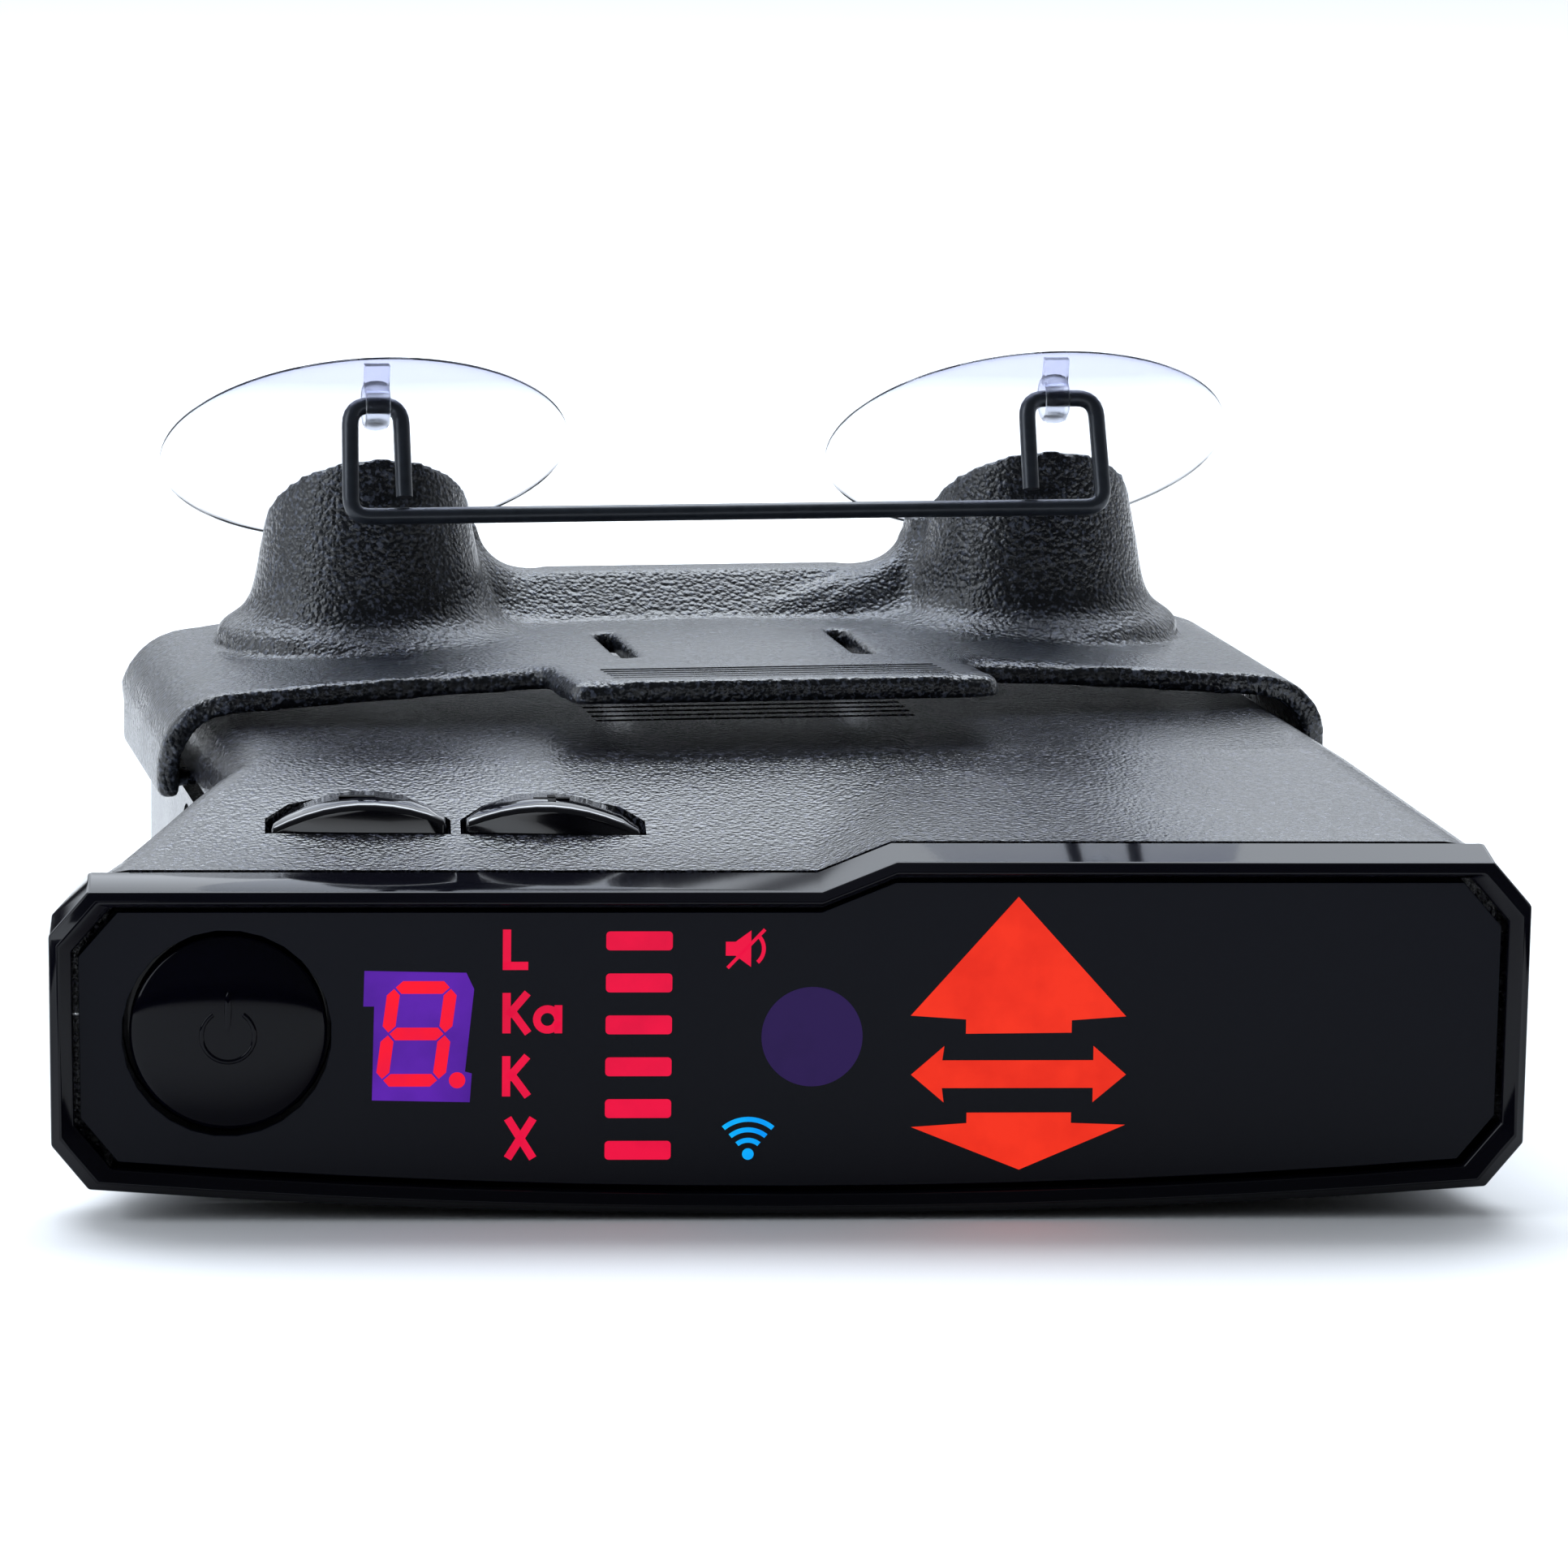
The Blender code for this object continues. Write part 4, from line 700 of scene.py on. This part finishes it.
def make_bracket():
    """Bracket with moulded fillets and rolled edges, as one skin over the saddle, ridge and posts."""
    mesh = cad_copy("mount_bracket")
    bmesh.ops.triangulate(mesh, faces=mesh.faces)
    made = settle("bracket_moulding", mesh, BRACKET_GRAIN, "bracket",
                  ("mount_bracket",), 80.0)
    skin = made.modifiers.new("Skin", "REMESH")
    skin.mode = "VOXEL"
    skin.voxel_size = BRACKET_VOXEL * MM
    skin.use_smooth_shade = True
    apply_all(made)
    feet = made.vertex_groups.new(name="feet")
    centres = [Vector(mount("cup_%s_glass" % side)["pos_m"]) for side in ("left", "right")]
    for vertex in made.data.vertices:
        aside = min(abs(vertex.co.x - centre.x) for centre in centres)
        if POST_FOOT_LOW < vertex.co.z / MM < POST_FOOT_HIGH and aside / MM < POST_REACH:
            feet.add([vertex.index], 1.0, "REPLACE")
    blend = made.modifiers.new("Blend", "SMOOTH")
    blend.factor = 0.5
    blend.iterations = FEET_ROUNDS
    blend.vertex_group = "feet"
    ease = made.modifiers.new("Ease", "SMOOTH")
    ease.factor = 0.5
    ease.iterations = SKIN_ROUNDS
    apply_all(made)
    made.vertex_groups.clear()
    made.data.shade_smooth()


def make_grip_lines():
    """Five fine ribs across the tongue."""
    low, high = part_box("mount_bracket")
    middle = (low.x + high.x) / 2
    mesh = bmesh.new()
    for k in range(5):
        y = GRIP_FRONT + GRIP_PITCH * k
        z = GRIP_HIGH - GRIP_FALL * k
        place = Matrix.Translation((middle, y * MM, z * MM)) @ Matrix.Diagonal(
            (GRIP_LONG * MM, GRIP_THICK * MM, GRIP_THICK * MM, 1))
        bmesh.ops.create_cube(mesh, size=1.0, matrix=place)
    settle("grip_lines", mesh, BRACKET_GRAIN, "bracket")


# ---------------------------------------------------------------- cups and wire


def make_cup(side):
    """Clear suction cup with its pull tab looped round the release wire."""
    spot = mount("cup_%s_glass" % side)
    axis = Vector(spot["axis"]).normalized()
    rim = Vector(spot["pos_m"])
    profile = [(0.0, -3.6), (2.7, -3.6), (2.7, -0.5), (2.35, 0.1), (2.3, 0.5), (2.6, 0.85),
               (3.6, 1.2), (5.2, 1.55), (7.0, 1.95), (8.8, 2.32), (10.2, 2.65), (11.1, 2.9),
               (11.55, 3.08), (11.72, 3.25), (11.68, 3.4), (11.45, 3.45), (10.9, 3.35), (9.6, 3.05),
               (8.0, 2.75), (6.0, 2.4), (4.0, 2.12), (1.8, 1.93), (0.0, 1.9)]
    mesh = turned_piece(profile, axis_matrix(rim - axis * CUP_HIGH * MM, axis))
    node = "suction_cup_" + side
    settle("cup_" + side, mesh, CUP_CLEAR, "bracket", (node,), 60.0)

    swing = joint("wire_swing")["pos_m"]
    low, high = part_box("release_wire")
    inset = (TAB_IN[side] + WIRE_RADIUS) * MM
    eye_x = low.x + inset if side == "left" else high.x - inset
    eye = Vector((eye_x, swing[1], swing[2]))
    up_slope = Vector((0.0, -axis.z, axis.y))
    hang = rim + up_slope * (CUP_RADIUS - 0.6) * MM - axis * 0.25 * MM
    inner = WIRE_RADIUS + 0.35
    tab = bmesh.new()
    ring = bmesh.ops.create_circle(tab, cap_ends=True, radius=0.5, segments=12)["verts"]
    bmesh.ops.scale(tab, verts=ring, vec=(TAB_THICK, TAB_WIDE, 1.0))
    bmesh.ops.rotate(tab, verts=ring, cent=(0, 0, 0), matrix=Matrix.Rotation(math.radians(90), 3, "X"))
    bmesh.ops.translate(tab, verts=ring, vec=(inner + TAB_THICK / 2, 0, 0))
    bmesh.ops.rotate(tab, verts=tab.verts, cent=(0, 0, 0), matrix=Matrix.Rotation(math.radians(90), 3, "X"))
    bmesh.ops.spin(tab, geom=tab.faces[:], cent=(0, 0, 0), axis=(0, 1, 0), angle=TAU,
                   steps=40, use_merge=True)
    bmesh.ops.remove_doubles(tab, verts=tab.verts, dist=1e-3)
    inside = [face for face in tab.faces if len(face.verts) > 4]
    bmesh.ops.delete(tab, geom=inside, context="FACES")
    place = Matrix.Translation(eye) @ Matrix.Rotation(math.radians(90), 4, "Z") @ Matrix.Scale(MM, 4)
    bmesh.ops.transform(tab, matrix=place, verts=tab.verts)
    strap_start = eye + Vector((0, hang.y - eye.y, hang.z - eye.z)).normalized() * inner * MM
    strap_end = Vector((eye.x, hang.y, hang.z))
    run = strap_end - strap_start
    strap = bmesh.ops.create_cube(tab, size=1.0)["verts"]
    turn = Vector((0, 0, 1)).rotation_difference(run).to_matrix().to_4x4()
    shape = Matrix.Diagonal((TAB_WIDE * MM, TAB_THICK * MM, run.length, 1.0))
    bmesh.ops.transform(tab, matrix=Matrix.Translation((strap_start + strap_end) / 2) @ turn @ shape,
                        verts=strap)
    bmesh.ops.recalc_face_normals(tab, faces=tab.faces)
    settle("tab_" + side, tab, TAB_CLEAR, "bracket")


def bent(corners, radius, steps=6):
    """A path through corners with each inner corner eased."""
    path = [corners[0]]
    for before, corner, after in zip(corners, corners[1:], corners[2:]):
        start = corner + (before - corner).normalized() * radius
        stop = corner + (after - corner).normalized() * radius
        for k in range(steps + 1):
            t = k / steps
            path.append(start * (1 - t) ** 2 + corner * 2 * t * (1 - t) + stop * t ** 2)
    path.append(corners[-1])
    return path


def make_wire():
    """Bent release wire."""
    low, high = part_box("release_wire")
    swing = joint("wire_swing")["pos_m"]
    middle = (low.x + high.x) / 2
    reach = (high.x - low.x) / 2 - WIRE_RADIUS * MM
    top = Vector((middle, swing[1], swing[2]))
    foot = Vector((middle, low.y + WIRE_RADIUS * MM, low.z + WIRE_RADIUS * MM))
    slope = foot - top

    def spot(x, share):
        return top + slope * share + Vector((x, 0, 0))

    ends = []
    for side, sign in (("left", -1), ("right", 1)):
        inner = reach - LEG_IN[side] * MM
        ends.append([spot(sign * inner, 0.83), spot(sign * inner, 0.0), spot(sign * (reach - 0.2 * MM), 0.0),
                     spot(sign * reach, 1.0)])
    path = bent(ends[0] + list(reversed(ends[1])), WIRE_BEND * MM)
    curve = bpy.data.curves.new("release_wire_finish", "CURVE")
    curve.dimensions = "3D"
    curve.bevel_depth = WIRE_RADIUS * MM
    curve.bevel_resolution = 6
    curve.use_fill_caps = True
    spline = curve.splines.new("POLY")
    spline.points.add(len(path) - 1)
    for point, place in zip(spline.points, path):
        point.co = (*place, 1.0)
    drawn = bpy.data.objects.new("wire_line", curve)
    bpy.context.scene.collection.objects.link(drawn)
    bpy.context.view_layer.update()
    shape = bpy.data.meshes.new_from_object(drawn.evaluated_get(bpy.context.evaluated_depsgraph_get()))
    bpy.data.objects.remove(drawn)
    mesh = bmesh.new()
    mesh.from_mesh(shape)
    tidy_mesh(mesh)
    settle("release_wire_finish", mesh, WIRE_DARK, "wire", ("release_wire",), 60.0)


# ---------------------------------------------------------------- pieces that keep their CAD shape


def dress_hidden_pieces():
    """Finishes for the CAD nodes that stay as they are."""
    finishes = {
        BOARD_GREEN: ("display_board", "key_board", "main_board"),
        COMPONENT_BLACK: ("power_switch", "minus_switch", "plus_switch", "signal_processor", "speaker",
                          "power_jack", "flat_cable"),
        STEEL: ("case_screw_1", "case_screw_2", "case_screw_3", "case_screw_4", "receiver_cover",
                "wireless_module", "data_socket"),
        CAST_ZINC: ("horn_antenna",),
        RED_GUIDE: ("digit_module", "band_light_guide", "bar_light_guide",
                    "mute_light_guide", "arrow_light_guide"),
        BLUE_GUIDE: ("wireless_light_guide",),
        VIOLET_LENS: ("light_sensor", "laser_sensor"),
    }
    for look, nodes in finishes.items():
        for node in nodes:
            data = frame["nodes"][node].data
            data.materials.clear()
            data.materials.append(look)


# ---------------------------------------------------------------- studio


def make_floor():
    """Pale floor with painted light: it glows more the further it lies from the object, so the far floor reads
    white while the shade near the object stays.
    """
    made, nodes, links, shader = new_material("pale_floor", (0.9, 0.9, 0.9, 1), 0.9)
    shader.inputs["Specular IOR Level"].default_value = 0.0
    where = nodes.new("ShaderNodeTexCoord")
    reach = nodes.new("ShaderNodeVectorMath")
    reach.operation = "LENGTH"
    links.new(where.outputs["Object"], reach.inputs[0])
    # Painted light: the floor's glow rises from nothing near the object to its full strength farther out
    far_floor_glow = nodes.new("ShaderNodeMapRange")
    far_floor_glow.inputs["From Min"].default_value = 0.06
    far_floor_glow.inputs["From Max"].default_value = 0.4
    far_floor_glow.inputs["To Max"].default_value = 0.3
    links.new(reach.outputs["Value"], far_floor_glow.inputs["Value"])
    links.new(far_floor_glow.outputs["Result"], shader.inputs["Emission Strength"])
    shader.inputs["Emission Color"].default_value = (1, 1, 1, 1)
    mesh = bmesh.new()
    bmesh.ops.create_grid(mesh, x_segments=1, y_segments=1, size=3.0)
    data = bpy.data.meshes.new("floor")
    mesh.to_mesh(data)
    mesh.free()
    data.materials.append(made)
    floor = bpy.data.objects.new("floor", data)
    floor.location.z = -0.0001
    bpy.context.scene.collection.objects.link(floor)


def area_light(name, place, target, size, power, color=(1, 1, 1)):
    """A soft rectangular light aimed at a point."""
    lamp = bpy.data.lights.new(name, "AREA")
    lamp.shape = "RECTANGLE"
    lamp.size, lamp.size_y = size
    lamp.energy = power
    lamp.color = color
    made = bpy.data.objects.new(name, lamp)
    made.location = place
    made.rotation_euler = (Vector(target) - Vector(place)).to_track_quat("-Z", "Y").to_euler()
    bpy.context.scene.collection.objects.link(made)


def make_studio():
    """Surround that is bright behind, dark in front and at the horizon, with two soft boxes."""
    world = bpy.data.worlds.new("studio")
    world.use_nodes = True
    nodes, links = world.node_tree.nodes, world.node_tree.links
    background = nodes["Background"]
    where = nodes.new("ShaderNodeTexCoord")
    split = nodes.new("ShaderNodeSeparateXYZ")
    links.new(where.outputs["Generated"], split.inputs[0])
    ramp = nodes.new("ShaderNodeMapRange")
    ramp.inputs["From Min"].default_value = -0.3
    ramp.inputs["From Max"].default_value = 0.7
    ramp.inputs["To Min"].default_value = 0.1
    ramp.inputs["To Max"].default_value = 1.7
    links.new(split.outputs["Y"], ramp.inputs["Value"])
    horizon = nodes.new("ShaderNodeMapRange")
    horizon.inputs["From Min"].default_value = 0.05
    horizon.inputs["From Max"].default_value = 0.16
    links.new(split.outputs["Z"], horizon.inputs["Value"])
    level = nodes.new("ShaderNodeMath")
    level.operation = "MULTIPLY"
    links.new(ramp.outputs["Result"], level.inputs[0])
    links.new(horizon.outputs["Result"], level.inputs[1])
    links.new(level.outputs[0], background.inputs["Strength"])
    background.inputs["Color"].default_value = (0.86, 0.92, 1.0, 1.0)
    bpy.context.scene.world = world
    area_light("top_box", (0.0, 0.3, 0.55), (0, 0, 0), (0.7, 0.4), 6.0, (0.85, 0.92, 1.0))
    area_light("left_box", (-0.55, -0.1, 0.3), (0, 0, 0.02), (0.3, 0.4), 1.6, (0.85, 0.92, 1.0))


def make_camera():
    """Long lens, a little above and to the left of the display."""
    eye = Vector((-71.4, -363.1, 86.4)) * MM
    back = Vector((-0.18837, -0.96733, 0.16970)).normalized()
    right = Vector((0.98156, -0.19114, 0.0))
    up = back.cross(right)
    roll = math.radians(0.73)
    across = right * math.cos(roll) + up * math.sin(roll)
    upward = up * math.cos(roll) - right * math.sin(roll)
    lens = bpy.data.cameras.new("camera")
    lens.sensor_width = 36.0
    lens.lens = 169.5
    lens.clip_start = 0.01
    camera = bpy.data.objects.new("camera", lens)
    bpy.context.scene.collection.objects.link(camera)
    place = FACE_CENTRE + eye
    turn = Matrix((across, upward, back)).transposed().to_4x4()
    camera.matrix_world = Matrix.Translation(place) @ turn
    bpy.context.scene.camera = camera
    bpy.context.scene.view_settings.view_transform = "Standard"


make_camera()
make_studio()
make_floor()
dress_hidden_pieces()
softened("front_bezel", PIANO_BLACK, "case", 0.14)
softened("display_window", WINDOW_BLACK, "case", 0.08)
softened("rear_window", WINDOW_BLACK, "case", 0.1)
softened("upper_case", CASE_GRAIN, "case", 0.12)
softened("lower_case", CASE_GRAIN, "case", 0.12)
make_digit()
make_letters()
make_bars()
make_mute()
make_wireless()
make_arrows()
make_sensor_spot()
make_power_button()
make_keys()
make_bracket()
make_grip_lines()
for side in ("left", "right"):
    make_cup(side)
make_wire()
